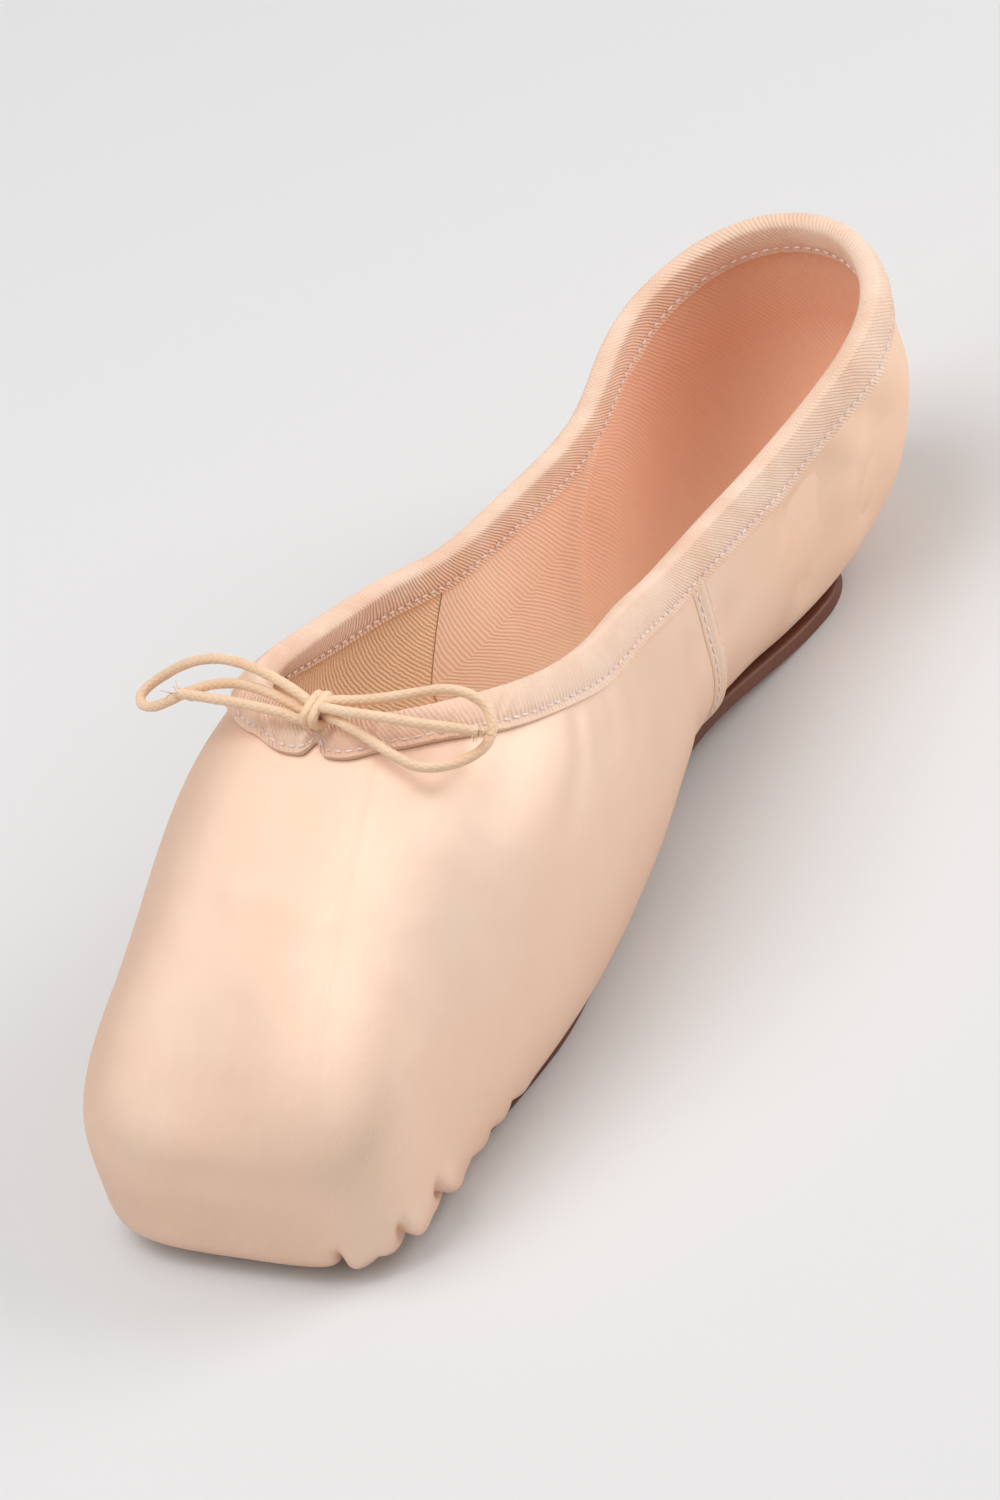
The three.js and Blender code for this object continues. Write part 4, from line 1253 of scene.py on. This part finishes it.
# Stitches
def stitch_tool():
    """Geometry nodes: one rounded stitch on every point, laid along its thread and flat on the cloth."""
    tree = bpy.data.node_groups.new("Stitches", "GeometryNodeTree")
    face = tree.interface
    face.new_socket("Geometry", in_out="INPUT", socket_type="NodeSocketGeometry")
    sockets = {}
    for label, kind in (("Length", "NodeSocketFloat"), ("Width", "NodeSocketFloat"), ("Height", "NodeSocketFloat"),
                        ("Material", "NodeSocketMaterial")):
        sockets[label] = face.new_socket(label, in_out="INPUT", socket_type=kind).identifier
    face.new_socket("Geometry", in_out="OUTPUT", socket_type="NodeSocketGeometry")
    start, end = node(tree, "NodeGroupInput"), node(tree, "NodeGroupOutput")
    along = node(tree, "GeometryNodeInputNamedAttribute", {"Name": "along"}, data_type="FLOAT_VECTOR")
    up = node(tree, "GeometryNodeInputNamedAttribute", {"Name": "up"}, data_type="FLOAT_VECTOR")
    turn = node(tree, "FunctionNodeAlignRotationToVector", {"Vector": along.outputs[0]}, axis="X")
    turn = node(tree, "FunctionNodeAlignRotationToVector", {"Rotation": turn.outputs[0], "Vector": up.outputs[0]},
                axis="Z", pivot_axis="X")
    ball = node(tree, "GeometryNodeMeshUVSphere", {"Segments": 8, "Rings": 5, "Radius": 0.5})
    size = node(tree, "ShaderNodeCombineXYZ", {0: start.outputs["Length"], 1: start.outputs["Width"],
                                               2: start.outputs["Height"]})
    shape = node(tree, "GeometryNodeTransform", {"Geometry": ball.outputs[0], "Scale": size.outputs[0]})
    spread = node(tree, "GeometryNodeInstanceOnPoints", {"Points": start.outputs["Geometry"],
                                                         "Instance": shape.outputs[0], "Rotation": turn.outputs[0]})
    real = node(tree, "GeometryNodeRealizeInstances", {0: spread.outputs[0]})
    done = node(tree, "GeometryNodeSetMaterial", {"Geometry": real.outputs[0], "Material": start.outputs["Material"]})
    tree.links.new(done.outputs[0], end.inputs[0])
    return tree, sockets


STITCHES, STITCH_INPUTS = stitch_tool()


def even(points, normals, pitch, start):
    """Points a pitch apart along a line, with its direction and the cloth's normal there."""
    run = np.concatenate([[0], np.cumsum(np.linalg.norm(np.diff(points, axis=0), axis=1))])
    want = np.arange(start * pitch, run[-1], pitch)
    at = np.stack([np.interp(want, run, points[:, k]) for k in range(3)], -1)
    up = unit(np.stack([np.interp(want, run, normals[:, k]) for k in range(3)], -1))
    ahead, behind = (np.stack([np.interp(want + step, run, points[:, k]) for k in range(3)], -1)
                     for step in (0.1, -0.1))
    return at, unit(ahead - behind), up


def sew(name, rows, sizes, finish, slot, start=0.5):
    """Rows of stitches as one piece; each row is (points, normals), and starts at a share of the pitch."""
    found = [even(points, normals, sizes["Pitch"], start) for points, normals in rows]
    at, along, up = (np.concatenate([f[k] for f in found]) for k in range(3))
    cloud = bpy.data.meshes.new(name + "_points")
    cloud.from_pydata((at * MM).tolist(), [], [])
    for label, value in (("along", along), ("up", up)):
        cloud.attributes.new(label, "FLOAT_VECTOR", "POINT").data.foreach_set("vector", value.ravel())
    holder = bpy.data.objects.new(name + "_points", cloud)
    bpy.context.collection.objects.link(holder)
    tool = holder.modifiers.new("stitches", "NODES")
    tool.node_group = STITCHES
    for label in ("Length", "Width", "Height"):
        tool[STITCH_INPUTS[label]] = sizes[label] * MM
    tool[STITCH_INPUTS["Material"]] = finish
    mesh = bpy.data.meshes.new_from_object(holder.evaluated_get(bpy.context.evaluated_depsgraph_get()))
    mesh.name = name
    mesh.shade_smooth()
    bpy.data.objects.remove(holder)
    piece = bpy.data.objects.new(name, mesh)
    bpy.context.collection.objects.link(piece)
    return belongs(piece, slot)


def binding_rows():
    around = np.linspace(-1, 1, 1600, endpoint=False)
    foot = binding_foot(around)
    facing = skin.facing(around, 0 * around + 0.2)
    outer = below_collar(around, foot - STITCH_IN, outer_leaf(around, foot - STITCH_IN, foot) + 0.1)
    wall = wall_at(below_collar(around, 0.0, 0.0)[..., 1])
    share = 1 - STITCH_IN / BINDING_INSIDE
    inner = below_collar(around, BINDING_INSIDE - STITCH_IN, -wall - inner_leaf(around, share) - 0.1)
    return [(settle(outer, around, SETTLE_STITCHES), facing), (settle(inner, around, SETTLE_STITCHES), -facing)]


def strip_rows(path, width, at, face, wave=0.0):
    rows = []
    for share in at:
        points, normals = [], []
        for run in np.linspace(0, 1, 301):
            beside, down = across_strip(path, run, width, wave, share)
            points.append(skin.at(beside, down, face(share) + 0.05))
            normals.append(skin.facing(beside, down))
        rows.append((np.array(points), np.array(normals)))
    return rows


# Stitches in millimetres, and the insets of the two rows round the outsole
BINDING_STITCH = {"Pitch": 2.1, "Length": 1.55, "Width": 0.5, "Height": 0.42}
SEAM_STITCH = {"Pitch": 2.1, "Length": 1.55, "Width": 0.45, "Height": 0.38}
SOLE_STITCH = {"Pitch": 3.4, "Length": 2.2, "Width": 0.6, "Height": 0.3}
# Needle holes: dark spots of painted shade between the sole's stitches.
NEEDLE_SHADE_SPOT = {"Pitch": 3.4, "Length": 0.75, "Width": 0.7, "Height": 0.2}
SOLE_ROWS = (2.3, 5.0)


def sole_rows():
    rows = []
    for inset in SOLE_ROWS:
        right = sole_plan(inset).at(np.linspace(0, 1, 500))
        loop = np.concatenate([right, right[::-1] * np.array([-1, 1, 1])])
        loop[:, 2] = sole_line(loop[:, 1]) + 0.02
        rows.append((loop, np.tile([0.0, 0.0, -1.0], (len(loop), 1))))
    return rows


def add_stitches():
    sew("binding_stitches", binding_rows(), BINDING_STITCH, THREAD, "binding")
    rows = []
    for side in (1, -1):
        rows += strip_rows(side_seam_path(side), SEAM_WIDTH, SEAM_ROWS, seam_face)
    rows += strip_rows(heel_path, HEEL_STRIP_WIDTH, HEEL_ROWS, heel_face, HEEL_WAVE)
    sew("seam_stitches", rows, SEAM_STITCH, THREAD, "satin")
    sew("sole_stitches", sole_rows(), SOLE_STITCH, SOLE_THREAD, "outsole")
    sew("needle_hole_shades", sole_rows(), NEEDLE_SHADE_SPOT, PAINTED_HOLE_SHADE, "outsole", start=0.0)


add_stitches()


# Floor and light
FLOOR_HALF = 15
FLOOR_COLOUR = (0.75, 0.76, 0.78)
LAMP_COLOUR = (1, 0.98, 0.96)
WORLD_COLOUR = (1.0, 0.975, 0.945, 1)
WORLD_STRENGTH = 0.44
# Soft lamps: name, place, what it faces, size in metres, watts
LAMPS = [
    ("key", (-0.3, -0.2, 1.12), (0, -0.03, 0.03), (0.8, 0.9), 6.7),
    ("toe", (-0.42, -0.85, 0.85), (0, -0.08, 0.02), (0.6, 0.6), 1.3),
    ("side", (0.95, 0.8, 0.75), (0, 0.04, 0.03), (0.9, 0.9), 10.5),
]


def add_floor():
    mesh = bpy.data.meshes.new("floor")
    corners = [(x * FLOOR_HALF, y * FLOOR_HALF, 0) for x, y in ((-1, -1), (1, -1), (1, 1), (-1, 1))]
    mesh.from_pydata(corners, [], [(0, 1, 2, 3)])
    mesh.materials.append(plain("floor", FLOOR_COLOUR, 0.6))
    floor = bpy.data.objects.new("floor", mesh)
    bpy.context.collection.objects.link(floor)


def add_lamp(name, place, target, size, watts):
    data = bpy.data.lights.new(name, "AREA")
    data.shape = "RECTANGLE"
    data.size, data.size_y = size
    data.energy = watts
    data.color = LAMP_COLOUR
    lamp = bpy.data.objects.new(name, data)
    back = (Vector(place) - Vector(target)).normalized()
    lamp.matrix_world = Matrix.Translation(place) @ back.to_track_quat("Z", "Y").to_matrix().to_4x4()
    bpy.context.collection.objects.link(lamp)


def add_world():
    world = bpy.data.worlds.new("studio")
    world.use_nodes = True
    shade = world.node_tree.nodes["Background"]
    shade.inputs["Color"].default_value = WORLD_COLOUR
    shade.inputs["Strength"].default_value = WORLD_STRENGTH
    bpy.context.scene.world = world


add_floor()
for row in LAMPS:
    add_lamp(*row)
add_world()
bpy.context.scene.view_settings.view_transform = "Standard"
